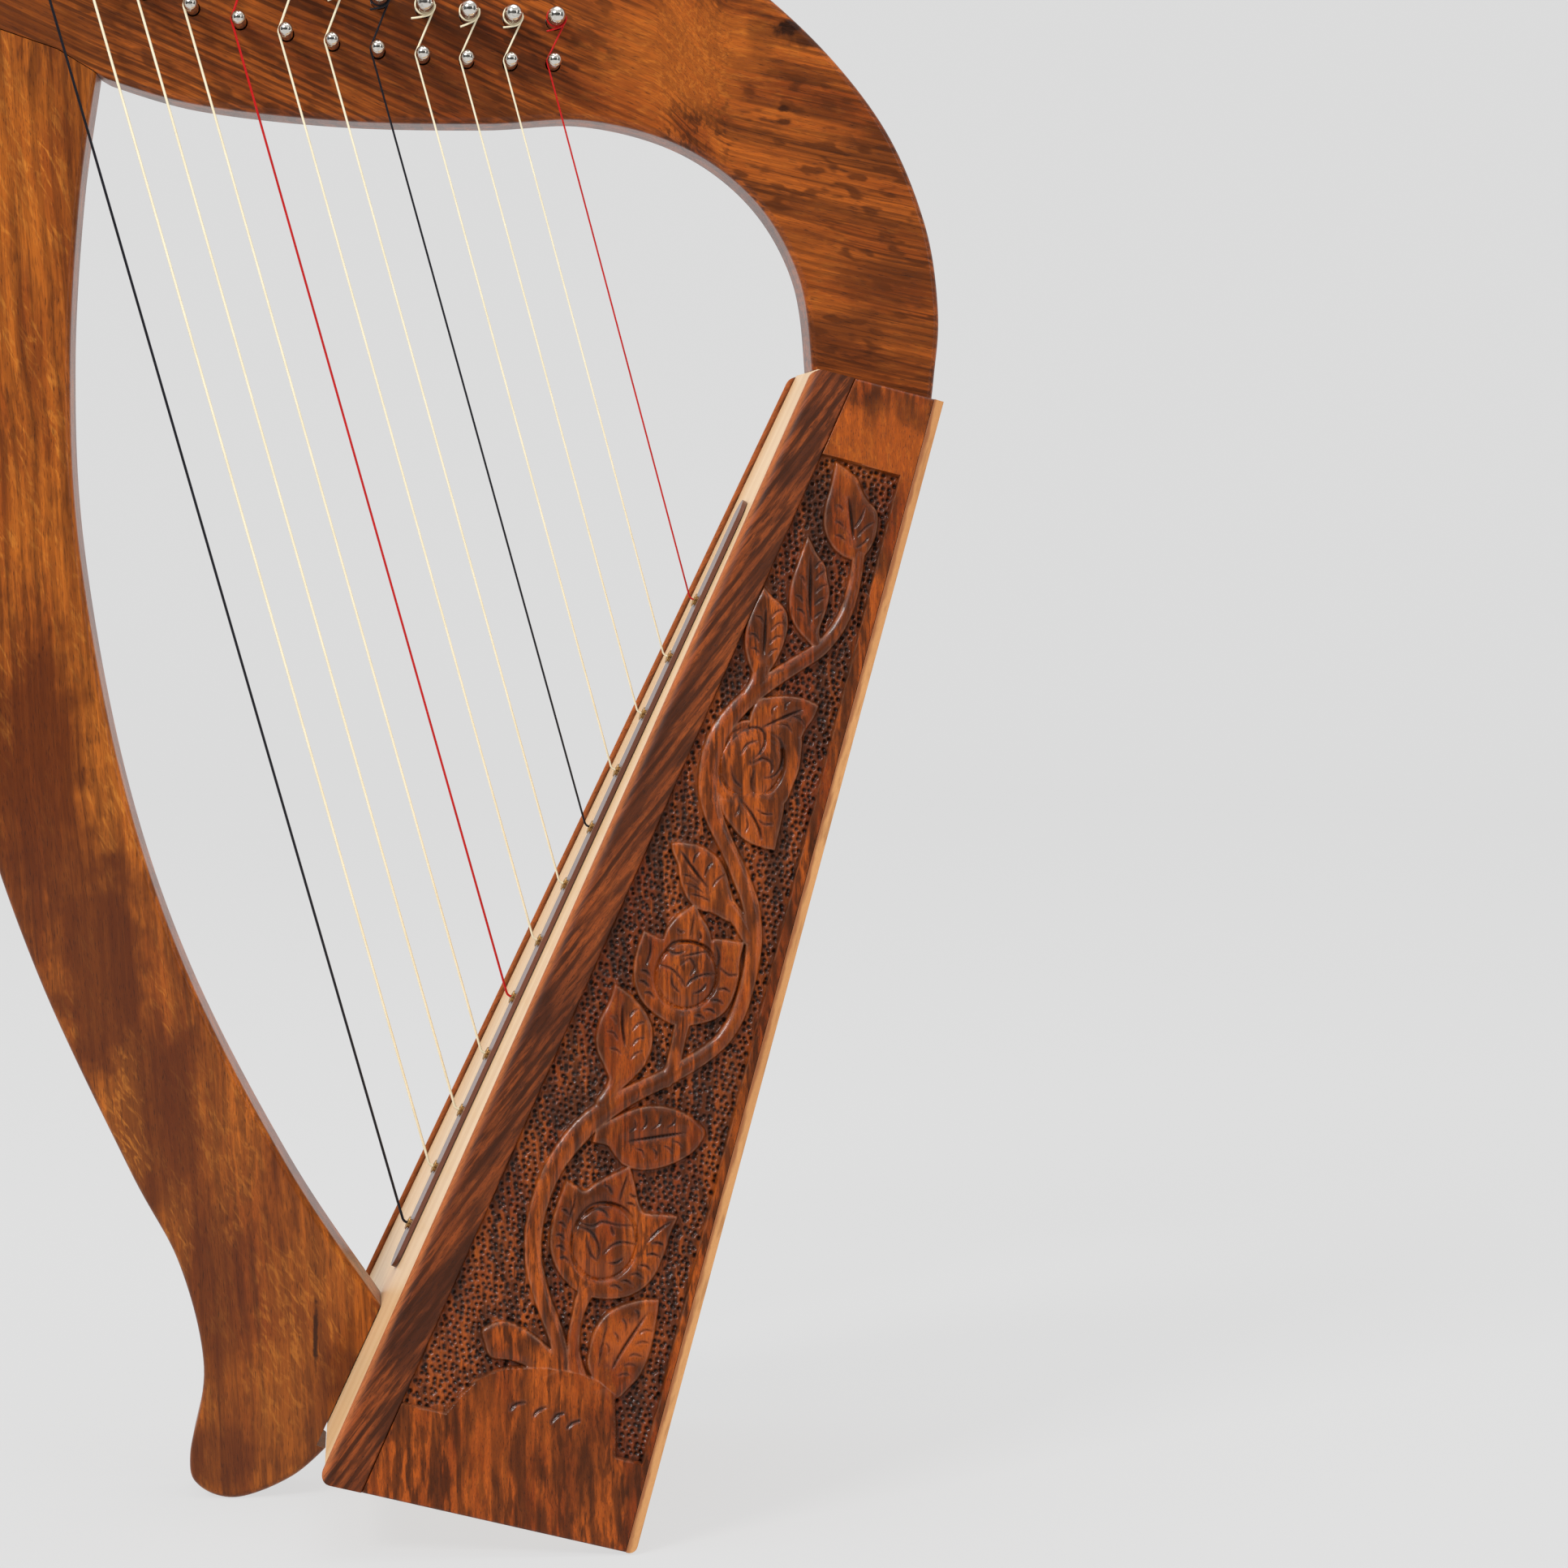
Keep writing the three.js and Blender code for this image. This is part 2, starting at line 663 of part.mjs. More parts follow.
function neck(runs) {
  const half = PLATE / 2;
  const slotHalf = TONGUE.half + GAP;
  const tenon = polygon(tenonOutline(0).map(([x, z]) => atBox(x, z)));
  const underBox = polygon([
    atBox(-90, BOX_LENGTH + endDrop(-90) + GAP),
    atBox(-90, BOX_LENGTH - 60),
    atBox(40, BOX_LENGTH - 60),
    atBox(40, BOX_LENGTH + endDrop(40) + GAP),
  ]);
  let body = solidOf(sidePlate(neckOutline(), -half, half, PLATE_EDGE));
  body = body.subtract(besideJoint(-1));
  body = body.subtract(solidOf(sidePlate(tongueOutline(GAP), -slotHalf, slotHalf)));
  body = body.subtract(solidOf(sidePlate(underBox, -PLATE, PLATE)));
  body = body.add(solidOf(sidePlate(tenon, -NECK_TENON.half, NECK_TENON.half)));
  for (const { bridge, tuning } of runs) {
    const bridgeHole = BRIDGE_PIN.radius + PIN_CLEARANCE;
    const tuningHole = TUNING_PIN.radius + PIN_CLEARANCE;
    body = body.subtract(yHole(bridge.x, bridge.y, bridgeHole, -PLATE, BRIDGE_PIN.root + GAP));
    body = body.subtract(yHole(tuning.x, tuning.y, tuningHole, -PLATE, PLATE));
  }
  return geometryOf(body);
}

function pillar() {
  const half = PLATE / 2;
  const front = BOARD_RECESS - GAP;
  const reach = 90;
  const box = polygon([
    atFront(front, -OVER),
    atFront(reach, -OVER),
    atFront(reach, reach),
    atFront(front, reach),
  ]);
  const post = polygon([
    atFront(front - OVER, POST.low),
    atFront(BOARD_RECESS + POST.deep, POST.low),
    atFront(BOARD_RECESS + POST.deep, POST.high),
    atFront(front - OVER, POST.high),
  ]);
  let body = solidOf(sidePlate(pillarOutline(), -half, half, PLATE_EDGE));
  body = body.subtract(besideJoint(1));
  body = body.subtract(solidOf(sidePlate(box, -PLATE, PLATE)));
  body = body.add(solidOf(sidePlate(post, -POST.half, POST.half)));
  return geometryOf(body.add(solidOf(sidePlate(tongueOutline(0), -TONGUE.half, TONGUE.half))));
}

// ---- Assembly --------------------------------------------------------------------------

const harp = new THREE.Group();
const soundbox = new THREE.Group();
soundbox.position.set(BOX_FOOT_X, 0, 0);
soundbox.rotation.y = BOX_LEAN;
harp.add(soundbox);

function addPiece(parent, name, geometry, finish) {
  const piece = new THREE.Mesh(geometry, new THREE.MeshStandardMaterial(FINISH[finish]));
  piece.name = name;
  parent.add(piece);
  return piece;
}

function numbered(stem, index) {
  return `${stem}_${String(index + 1).padStart(2, "0")}`;
}

function stringFinish(index) {
  if (BLACK_STRINGS.includes(index + 1)) return "black_nylon";
  if (RED_STRINGS.includes(index + 1)) return "red_nylon";
  return "white_nylon";
}

const runs = [];
for (let index = 0; index < STRINGS; index += 1) {
  runs.push(stringRun(index));
}

addPiece(harp, "neck", neck(runs), "rosewood");
addPiece(harp, "pillar", pillar(), "rosewood");
addPiece(soundbox, "left_side_panel", sidePanel(-1), "rosewood");
addPiece(soundbox, "right_side_panel", sidePanel(1), "rosewood");
addPiece(soundbox, "left_front_rail", frontRail(-1), "rail");
addPiece(soundbox, "right_front_rail", frontRail(1), "rail");
addPiece(soundbox, "soundboard", soundboard(), "spruce");
addPiece(soundbox, "string_rib", stringRib(), "dark_wood");
addPiece(soundbox, "inner_string_rib", innerStringRib(), "birch");
addPiece(soundbox, "back_panel", backPanel(), "birch");
addPiece(soundbox, "top_block", topBlock(), "rosewood");
addPiece(soundbox, "bottom_block", bottomBlock(), "birch");

for (const run of runs) {
  const brass = addPiece(soundbox, numbered("eyelet", run.index), eyelet(), "brass");
  const [x, z] = frontInBox(0, footHeight(run.index));
  brass.position.set(x, 0, z);
  brass.rotation.y = FRONT_SLOPE;

  const bridge = addPiece(harp, numbered("bridge_pin", run.index), bridgePin(), "nickel");
  bridge.position.set(run.bridge.x, 0, run.bridge.y);

  const tuning = addPiece(harp, numbered("tuning_pin", run.index), tuningPin(), "nickel");
  tuning.position.set(run.tuning.x, 0, run.tuning.y);

  const finish = stringFinish(run.index);
  addPiece(harp, numbered("string", run.index), stringGeometry(run), finish);
}

export default harp;
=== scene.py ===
"""The looks of a twelve-string lap harp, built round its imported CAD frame."""

import math
import random

import bmesh
import bpy
import numpy as np
from mathutils import Euler, Matrix, Vector, kdtree


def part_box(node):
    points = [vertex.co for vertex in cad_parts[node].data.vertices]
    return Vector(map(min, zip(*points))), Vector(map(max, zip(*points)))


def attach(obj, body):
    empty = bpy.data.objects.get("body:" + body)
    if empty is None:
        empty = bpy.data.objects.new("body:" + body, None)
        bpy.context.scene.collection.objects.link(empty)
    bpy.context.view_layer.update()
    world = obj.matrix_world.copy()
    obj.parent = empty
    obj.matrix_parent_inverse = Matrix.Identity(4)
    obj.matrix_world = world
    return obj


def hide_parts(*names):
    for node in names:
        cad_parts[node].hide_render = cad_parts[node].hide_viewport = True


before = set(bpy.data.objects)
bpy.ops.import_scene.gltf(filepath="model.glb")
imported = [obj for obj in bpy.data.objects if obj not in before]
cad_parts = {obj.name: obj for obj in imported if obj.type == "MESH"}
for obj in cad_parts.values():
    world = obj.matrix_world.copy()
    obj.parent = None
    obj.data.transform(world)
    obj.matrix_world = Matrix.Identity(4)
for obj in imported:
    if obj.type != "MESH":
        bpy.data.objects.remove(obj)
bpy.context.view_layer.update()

MM = 0.001
SEED = 12

# ---- Driving dimensions of the design, in millimetres --------------------------------------

GAP = 0.3
PLATE_HALF = 12.5
PLATE_ROUND = 2.2

BOX_LEAN = math.radians(15.7)
BOX_FOOT_X = 62.1
BOX_LENGTH = 362.0
DEPTH_BOTTOM = 97.5
DEPTH_TOP = 41.8
END_SLOPE = math.tan(math.radians(1.6))
HALF_BOTTOM = 89.0
HALF_TOP = 36.0
BACK_THICK = 3.0
WALL = 8.0
RAIL_DEPTH = 13.2
RAIL_LIP = 4.0
BOARD_LEDGE = 5.1
CARVED_DEPTH = 2.2
SOUND_HOLES = [(86, 31), (166, 27), (236, 22)]

FRONT_SLOPE = math.atan((DEPTH_BOTTOM - DEPTH_TOP) / BOX_LENGTH)
FRONT_LEAN = BOX_LEAN + FRONT_SLOPE
FRONT_LENGTH = BOX_LENGTH / math.cos(FRONT_SLOPE)
TAPER = (HALF_BOTTOM - HALF_TOP) / BOX_LENGTH
FRONT_TAPER = (HALF_BOTTOM - HALF_TOP) / FRONT_LENGTH

STRINGS = 12
BLACK_STRINGS = (1, 8)
RED_STRINGS = (5, 12)
THICKEST_STRING = 0.85
THINNEST_STRING = 0.55
STRING_LEAN = math.radians(15.75)

# ---- Mesh helpers --------------------------------------------------------------------------


def link(name, mesh):
    piece = bpy.data.objects.new(name, mesh)
    bpy.context.scene.collection.objects.link(piece)
    return piece


def mesh_piece(name, points, faces):
    """A new object from points in millimetres."""
    mesh = bpy.data.meshes.new(name)
    mesh.from_pydata((np.asarray(points, float) * MM).tolist(), [], faces)
    mesh.validate()
    return link(name, mesh)


def applied(piece):
    """The piece with its modifiers made part of its mesh."""
    graph = bpy.context.evaluated_depsgraph_get()
    mesh = bpy.data.meshes.new_from_object(piece.evaluated_get(graph))
    piece.modifiers.clear()
    piece.data = mesh
    return piece


def outward(piece):
    """Turns every face of a closed mesh outwards."""
    work = bmesh.new()
    work.from_mesh(piece.data)
    bmesh.ops.recalc_face_normals(work, faces=work.faces)
    work.to_mesh(piece.data)
    work.free()
    return piece


def smooth(piece, sharp_degrees=38):
    """Smooth shading, with a crease wherever two faces meet at more than the given angle."""
    limit = math.radians(sharp_degrees)
    work = bmesh.new()
    work.from_mesh(piece.data)
    for face in work.faces:
        face.smooth = True
    for edge in work.edges:
        edge.smooth = len(edge.link_faces) == 2 and edge.calc_face_angle(0) < limit
    work.to_mesh(piece.data)
    work.free()
    return piece


def weighted(piece):
    """Keeps large flat faces flat where they run into rounded edges."""
    modifier = piece.modifiers.new("weighted", "WEIGHTED_NORMAL")
    modifier.keep_sharp = True
    modifier.weight = 80
    return piece


def bevelled(piece, width, segments):
    modifier = piece.modifiers.new("bevel", "BEVEL")
    modifier.limit_method = "ANGLE"
    modifier.angle_limit = math.radians(35)
    modifier.width = width * MM
    modifier.segments = segments
    return applied(piece)


def boolean(piece, other, operation):
    """Cuts or joins the other mesh, which is used up."""
    modifier = piece.modifiers.new(operation, "BOOLEAN")
    modifier.operation = operation
    modifier.solver = "MANIFOLD"
    modifier.object = other
    applied(piece)
    bpy.data.objects.remove(other)
    return piece


def end_caps(rings, count):
    """One face on the first and one on the last of some rings of count points each."""
    return [list(range(count)), list(range((rings - 1) * count, rings * count))]


def ring_walls(rings, count, first=0, closed=False):
    """Four-sided faces from ring to ring; closed also joins the last ring to the first."""
    faces = []
    for ring in range(rings if closed else rings - 1):
        low, high = first + ring * count, first + (ring + 1) % rings * count
        for here in range(count):
            after = (here + 1) % count
            faces.append([low + here, low + after, high + after, high + here])
    return faces


def prism(name, outline, low, high, place):
    """A straight-sided solid; place turns (a, b, height) into a point."""
    count = len(outline)
    points = [place(a, b, low) for a, b in outline] + [place(a, b, high) for a, b in outline]
    return outward(mesh_piece(name, points, end_caps(2, count) + ring_walls(2, count)))


def in_plate(a, b, height):
    return (a, height, b)


def full_circle(sides):
    return [2 * math.pi * side / sides for side in range(sides)]


def circle(x, z, radius, sides):
    turns = full_circle(sides)
    return [(x + radius * math.cos(turn), z + radius * math.sin(turn)) for turn in turns]


def joined(name, pieces):
    """Several meshes in one object."""
    work = bmesh.new()
    for piece in pieces:
        work.from_mesh(piece.data)
        bpy.data.objects.remove(piece)
    mesh = bpy.data.meshes.new(name)
    work.to_mesh(mesh)
    work.free()
    return link(name, mesh)


def cad_copy(node):
    """A welded copy of a CAD node, with its flat faces made whole again."""
    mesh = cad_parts[node].data.copy()
    mesh.materials.clear()
    work = bmesh.new()
    work.from_mesh(mesh)
    bmesh.ops.remove_doubles(work, verts=work.verts, dist=0.002 * MM)
    bmesh.ops.dissolve_limit(work, angle_limit=math.radians(0.3), verts=work.verts, edges=work.edges)
    work.to_mesh(mesh)
    work.free()
    return link(node + "_finish", mesh)


def finished(piece, material, nodes, body="harp"):
    """Gives a piece its material and ties it to the frame."""
    piece.data.materials.clear()
    piece.data.materials.append(material)
    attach(piece, body)
    if nodes:
        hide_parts(*nodes)
    return piece


def cubic_run(start, end, leave, arrive, steps):
    """Points of a cubic from its start up to, but not with, its end."""
    run = []
    for step in range(steps):
        t = step / steps
        cubic = (2 * start - 2 * end + leave + arrive) * t**3
        square = (3 * end - 3 * start - 2 * leave - arrive) * t**2
        run.append(tuple(cubic + square + leave * t + start))
    return run


def spline(points, steps):
    """A uniform Catmull-Rom curve through the points, both ends included."""
    points = [np.array(point, float) for point in points]
    last = len(points) - 1
    curve = []
    for place in range(last):
        before, start = points[max(place - 1, 0)], points[place]
        end, after = points[place + 1], points[min(place + 2, last)]
        curve += cubic_run(start, end, (end - before) / 2, (after - start) / 2, steps)
    return [*curve, tuple(points[-1])]


# ---- Places on the soundbox ----------------------------------------------------------------
# The box frame has X to the back and Z up the back face. The front frame has X into the box
# and Z up the front edge, as in the design.


def box_to_world(x, y, z):
    return (
        BOX_FOOT_X + x * math.cos(BOX_LEAN) + z * math.sin(BOX_LEAN),
        y,
        -x * math.sin(BOX_LEAN) + z * math.cos(BOX_LEAN),
    )


def front_to_world(x, y, z):
    across = -DEPTH_BOTTOM + x * math.cos(FRONT_SLOPE) + z * math.sin(FRONT_SLOPE)
    up = -x * math.sin(FRONT_SLOPE) + z * math.cos(FRONT_SLOPE)
    return box_to_world(across, y, up)


def behind_front(depth, height):
    front = -DEPTH_BOTTOM + height * math.tan(FRONT_SLOPE)
    return front + depth / math.cos(FRONT_SLOPE)


# ---- Material helpers ----------------------------------------------------------------------


def srgb(red, green, blue):
    """A linear colour from 0 to 255 screen values."""
    values = [value / 255 for value in (red, green, blue)]
    linear = [v / 12.92 if v <= 0.04045 else ((v + 0.055) / 1.055) ** 2.4 for v in values]
    return (*linear, 1.0)


class Shader:
    """A material's node tree, with one short call for each kind of node."""

    def __init__(self, name):
        self.material = bpy.data.materials.new(name)
        self.material.use_nodes = True
        self.tree = self.material.node_tree
        self.surface = self.tree.nodes["Principled BSDF"]

    def feed(self, socket, value):
        if isinstance(value, bpy.types.NodeSocket):
            self.tree.links.new(value, socket)
        else:
            socket.default_value = value

    def node(self, kind, inputs=None, **settings):
        """A new node; inputs gives each socket, by name or number, a value or another socket."""
        made = self.tree.nodes.new(kind)
        for key, value in settings.items():
            setattr(made, key, value)
        for key, value in (inputs or {}).items():
            self.feed(made.inputs[key], value)
        return made

    def coordinates(self):
        return self.node("ShaderNodeTexCoord").outputs["Object"]

    def attribute(self, name):
        return self.node("ShaderNodeAttribute", attribute_name=name).outputs["Fac"]

    def mapped(self, vector, turn=(0, 0, 0), scale=(1, 1, 1), move=(0, 0, 0)):
        inputs = {"Vector": vector, "Rotation": Euler(turn), "Scale": scale, "Location": move}
        return self.node("ShaderNodeMapping", inputs).outputs["Vector"]

    def noise(self, vector, scale=1.0, detail=3.0, roughness=0.5, distortion=0.0, colour=False):
        inputs = {"Vector": vector, "Scale": scale, "Detail": detail, "Roughness": roughness,
                  "Distortion": distortion}
        return self.node("ShaderNodeTexNoise", inputs).outputs["Color" if colour else "Fac"]

    def stretched(self, vector, along, across, detail, roughness, distortion, shift):
        """Noise that is long along the grain and narrow across it, sizes in millimetres."""
        scale = (1 / (along * MM), 1 / (across * MM), 1 / (across * MM))
        place = self.mapped(vector, scale=scale, move=(shift, shift * 1.7, shift * 0.6))
        return self.noise(place, 1.0, detail, roughness, distortion)

    def between(self, value, low, high, to_low=0.0, to_high=1.0):
        """A smooth step from to_low to to_high as the value goes from low to high."""
        inputs = {"Value": value, "From Min": low, "From Max": high, "To Min": to_low, "To Max": to_high}
        made = self.node("ShaderNodeMapRange", inputs, interpolation_type="SMOOTHSTEP")
        return made.outputs["Result"]

    def math(self, operation, first, second):
        return self.node("ShaderNodeMath", {0: first, 1: second}, operation=operation).outputs["Value"]

    def times(self, first, second):
        return self.math("MULTIPLY", first, second)

    def plus(self, first, second):
        return self.math("ADD", first, second)

    def vector_math(self, operation, first, second):
        made = self.node("ShaderNodeVectorMath", {0: first, 1: second}, operation=operation)
        return made.outputs["Vector"]

    def mix(self, share, first, second):
        inputs = {"Factor": share, 6: first, 7: second}
        return self.node("ShaderNodeMix", inputs, data_type="RGBA").outputs[2]

    def mix_vectors(self, share, first, second):
        inputs = {"Factor": share, 4: first, 5: second}
        return self.node("ShaderNodeMix", inputs, data_type="VECTOR").outputs[1]

    def x_of(self, vector):
        return self.node("ShaderNodeSeparateXYZ", {0: vector}).outputs["X"]

    def zone(self, place, spot, ragged):
        """Share of a ragged oval region, given as x, z, half width, half height."""
        x, z, half_width, half_height = [value * MM for value in spot]
        away = self.vector_math("SUBTRACT", place, (x, 0, z))
        scaled = self.vector_math("MULTIPLY", away, (1 / half_width, 0, 1 / half_height))
        scaled = self.vector_math("ADD", scaled, ragged)
        length = self.node("ShaderNodeVectorMath", {0: scaled}, operation="LENGTH")
        return self.between(length.outputs["Value"], 0.45, 1.1, 1, 0)

    def ragged(self, place, size, amount):
        """Offsets that make an oval's outline uneven; y takes no part."""
        noise = self.noise(self.mapped(place, scale=(1 / (size * MM),) * 3), 1.0, 3.0, colour=True)
        centred = self.vector_math("SUBTRACT", noise, (0.5, 0.5, 0.5))
        return self.vector_math("MULTIPLY", centred, (amount, 0, amount))

    def bump(self, height, distance, strength):
        inputs = {"Distance": distance * MM, "Strength": strength, "Height": height}
        return self.node("ShaderNodeBump", inputs).outputs["Normal"]

    def finish(self, colour, roughness, normal=None, **constants):
        """Wires the surface; constants go on the shader's own sockets."""
        self.feed(self.surface.inputs["Base Color"], colour)
        self.feed(self.surface.inputs["Roughness"], roughness)
        if normal is not None:
            self.feed(self.surface.inputs["Normal"], normal)
        for key, value in constants.items():
            socket = key.replace("_", " ").title().replace("Ior", "IOR")
            self.surface.inputs[socket].default_value = value
        return self.material


# ---- Wood ----------------------------------------------------------------------------------


def grain_space(shader, grain, swirl):
    """Coordinates with X along the grain, gently wandering."""
    place = shader.coordinates()
    space = shader.mapped(place, turn=(0, math.radians(grain["angle"]), 0))
    if "far_angle" in grain:
        far = shader.mapped(place, turn=(0, math.radians(grain["far_angle"]), 0))
        share = shader.between(shader.x_of(place), grain["from"] * MM, grain["to"] * MM)
        space = shader.mix_vectors(share, space, far)
    wander = shader.noise(shader.mapped(space, scale=(9, 26, 26), move=(grain["shift"],) * 3), 1.0, 2.0,
                          colour=True)
    centred = shader.vector_math("SUBTRACT", wander, (0.5, 0.5, 0.5))
    return shader.vector_math("ADD", space, shader.vector_math("MULTIPLY", centred, (swirl * MM,) * 3))


def growth_lines(shader, space, look):
    """Even dark lines along the grain, where the look asks for them."""
    period, share, limits = look["rings"]
    inputs = {"Vector": space, "Scale": 0.314 / (period * MM), "Distortion": 2.2, "Detail": 2.0,
              "Detail Scale": 0.25}
    wave = shader.node("ShaderNodeTexWave", inputs, wave_type="BANDS", bands_direction="Z",
                       wave_profile="SIN")
    lines = shader.between(wave.outputs["Fac"], 0.38, 0.8, 0, share)
    broken = shader.stretched(space, 60, 5, 3.0, 0.6, 0.0, 21.0)
    lines = shader.times(lines, shader.between(broken, 0.38, 0.6, 0.25, 1))
    if limits:
        along = shader.x_of(shader.coordinates())
        low, high = limits
        lines = shader.times(lines, shader.between(along, low * MM, high * MM, 1, 0.5))
    return lines


def wood_figure(shader, space, tones, look, shift):
    """Base colour with its figure, bands, dark lines and flecks, and the curl on its own."""
    figure = shader.stretched(space, 70, 13, 3.0, 0.55, 0.3, shift)
    band = shader.stretched(space, *look["band"], 2.0, 0.5, 0.1, shift + 4)
    line = shader.stretched(space, *look["line"], 3.0, 0.55, 0.15, shift + 5)
    fleck = shader.stretched(space, *look["fleck"], 1.0, 0.4, 0.0, shift + 7)
    cloud = shader.stretched(space, 45, 16, 2.0, 0.5, 0.3, shift + 9)
    across = shader.mapped(space, turn=(0, math.radians(look["curl_turn"]), 0))
    curl = shader.between(shader.stretched(across, 8, 1.9, 3.0, 0.6, 0.8, shift + 15), 0.48, 0.68)
    colour = shader.mix(shader.between(figure, 0.36, 0.62), tones["mid"], tones["light"])
    curled = shader.times(curl, shader.between(cloud, 0.42, 0.6, 1, 0.1))
    colour = shader.mix(shader.times(curled, look["curl"]), colour, tones["glow"])
    colour = shader.mix(shader.between(band, 0.47, 0.62, 0.0, look["bands"]), colour, tones["shade"])
    lined = shader.times(shader.between(line, 0.48, 0.62), shader.between(cloud, 0.3, 0.6, 0.35, 1))
    colour = shader.mix(shader.times(lined, look["lines"]), colour, tones["dark"])
    colour = shader.mix(growth_lines(shader, space, look), colour, tones["dark"])
    flecked = shader.times(shader.between(fleck, 0.50, 0.64), shader.between(cloud, 0.40, 0.54))
    flecks = shader.mix(0.4, tones["dark"], tones["shade"])
    return shader.mix(shader.times(flecked, look["flecks"]), colour, flecks), curl


def zoned(shader, colour, curl, tones, zones):
    """Areas of other tone; glowing ones show as curl, small ones have finer edges."""
    place = shader.coordinates()
    coarse = shader.ragged(place, 10, 1.1)
    fine = shader.ragged(place, 2.2, 1.0)
    for spot, tone, strength in zones:
        ragged = coarse if min(spot[2:]) > 5 else fine
        share = shader.times(shader.zone(place, spot, ragged), strength)
        if tone == "glow":
            share = shader.times(share, shader.plus(shader.times(curl, 0.8), 0.2))
        colour = shader.mix(share, colour, tones[tone])
    return colour


def painted_front_light(shader, colour, tones, front):
    """Painted light: a paler tone near the box's front face, for the light falling on the rail's front and
    its rounded edge.
    """
    turn, low, high = front
    deep = shader.x_of(shader.mapped(shader.coordinates(), turn=(0, turn, 0)))
    return shader.mix(shader.between(deep, low * MM, high * MM, 0.62, 0), colour, tones["front"])


def rosewood(name, tones, grain, look, carved=False, front=None):
    """Lacquered rosewood: figure, zones of other tone, fibres, fine pores, satin lacquer."""
    shader = Shader(name)
    space = grain_space(shader, grain, look["swirl"])
    shift = grain["shift"]
    colour, curl = wood_figure(shader, space, tones, look, shift)
    colour = zoned(shader, colour, curl, tones, look["zones"])
    # Painted light on the front face, where asked for.
    if front:
        colour = painted_front_light(shader, colour, tones, front)
    fibre = shader.stretched(space, 9, 0.3, 2.0, 0.6, 0.0, shift + 11)
    pore = shader.stretched(space, 3.4, 0.22, 1.0, 0.5, 0.0, shift + 13)
    colour = shader.mix(shader.between(fibre, 0.35, 0.7, 0.0, 0.34), colour, tones["shade"])
    pores = shader.between(pore, 0.60, 0.72)
    colour = shader.mix(shader.times(pores, 0.55), colour, tones["pore"])
    height = shader.math("SUBTRACT", shader.times(fibre, 0.5), pores)
    roughness = shader.between(fibre, 0.2, 0.8, look["satin"], look["satin"] + 0.12)
    if carved:
        # Painted shade, with some dark stain, in the carving's pits, gouges and wall feet.
        hollow = shader.attribute("hollow")
        colour = shader.mix(shader.times(hollow, 0.96), colour, tones["hollow"])
        # A pale painted highlight along the carving's raised rims.
        colour = shader.mix(shader.times(shader.attribute("crest"), 0.27), colour, tones["crest"])
        roughness = shader.plus(roughness, shader.times(hollow, 0.3))
    normal = shader.bump(height, 0.05, 0.5)
    return shader.finish(colour, roughness, normal, coat_weight=look["coat"], coat_roughness=0.12,
                         coat_ior=1.45, ior=1.45, specular_ior_level=0.2)


# The two last tones are painted: a near-black shade, with some dark stain, for the carving's recesses, and a
# pale highlight for its raised rims.
DARK = {"dark": srgb(58, 27, 10), "pore": srgb(34, 17, 9), "hollow": srgb(18, 9, 6),
        "crest": srgb(198, 146, 116)}
NECK_TONES = {"light": srgb(178, 90, 26), "mid": srgb(138, 62, 17), "glow": srgb(202, 116, 38),
              "shade": srgb(92, 44, 14), **DARK}
PILLAR_TONES = {"light": srgb(182, 98, 28), "mid": srgb(148, 72, 20), "glow": srgb(210, 128, 46),
                "shade": srgb(84, 36, 10), **DARK}
PANEL_TONES = {"light": srgb(178, 84, 23), "mid": srgb(132, 54, 14), "glow": srgb(188, 99, 28),
               "shade": srgb(76, 36, 14), **DARK}
# The rail's front tone is painted light for its front face and rounded edge.
RAIL_TONES = {"light": srgb(146, 70, 28), "mid": srgb(100, 46, 20), "glow": srgb(160, 84, 36),
              "shade": srgb(62, 30, 15), "front": srgb(214, 124, 70), **DARK}

# Zones are ((x, z, half width, half height), tone, strength), in millimetres.
NECK_ZONES = [
    ((-130, 475, 100, 36), "shade", 0.45), ((-20, 450, 62, 24), "shade", 0.3),
    ((80, 458, 32, 22), "light", 0.5), ((80, 456, 34, 20), "glow", 0.5),
    ((112.7, 465.3, 6, 3.2), "pore", 1.0), ((121, 462, 12, 3.2), "dark", 0.8),
    ((104, 462, 6, 9), "dark", 0.35), ((111.6, 440.4, 2.6, 1.3), "pore", 0.8),
    ((112.0, 436.2, 2.8, 1.3), "pore", 0.8), ((141, 429, 12, 6), "dark", 0.4),
    ((146, 386, 20, 11), "shade", 0.55), ((130, 372, 22, 7), "shade", 0.5),
    ((135, 405, 42, 36), "shade", 0.08), ((127, 441, 11, 5.5), "dark", 0.4),
    ((116, 400, 16, 5.2), "shade", 0.4),
]
PILLAR_ZONES = [
    ((-120, 228, 19, 56), "shade", 0.75), ((-101, 172, 19, 50), "shade", 0.85),
    ((-83, 120, 17, 46), "shade", 0.8), ((-68, 66, 16, 36), "shade", 0.6),
    ((-66, 14, 14, 12), "shade", 0.55), ((-36, 62, 15, 30), "glow", 0.6),
    ((-47, 36, 12, 22), "glow", 0.5), ((-94, 118, 8, 32), "glow", 0.5),
    ((-78, 84, 6, 22), "glow", 0.4), ((-56, 44, 42, 72), "shade", 0.3),
    ((-60, 108, 10, 30), "glow", 0.35), ((-34.8, 52, 1.0, 14), "pore", 0.9),
    ((-137, 262, 9, 42), "dark", 0.4), ((-100, 236, 7, 40), "glow", 0.4),
    ((-28, 40, 8, 12), "shade", 0.6),
]
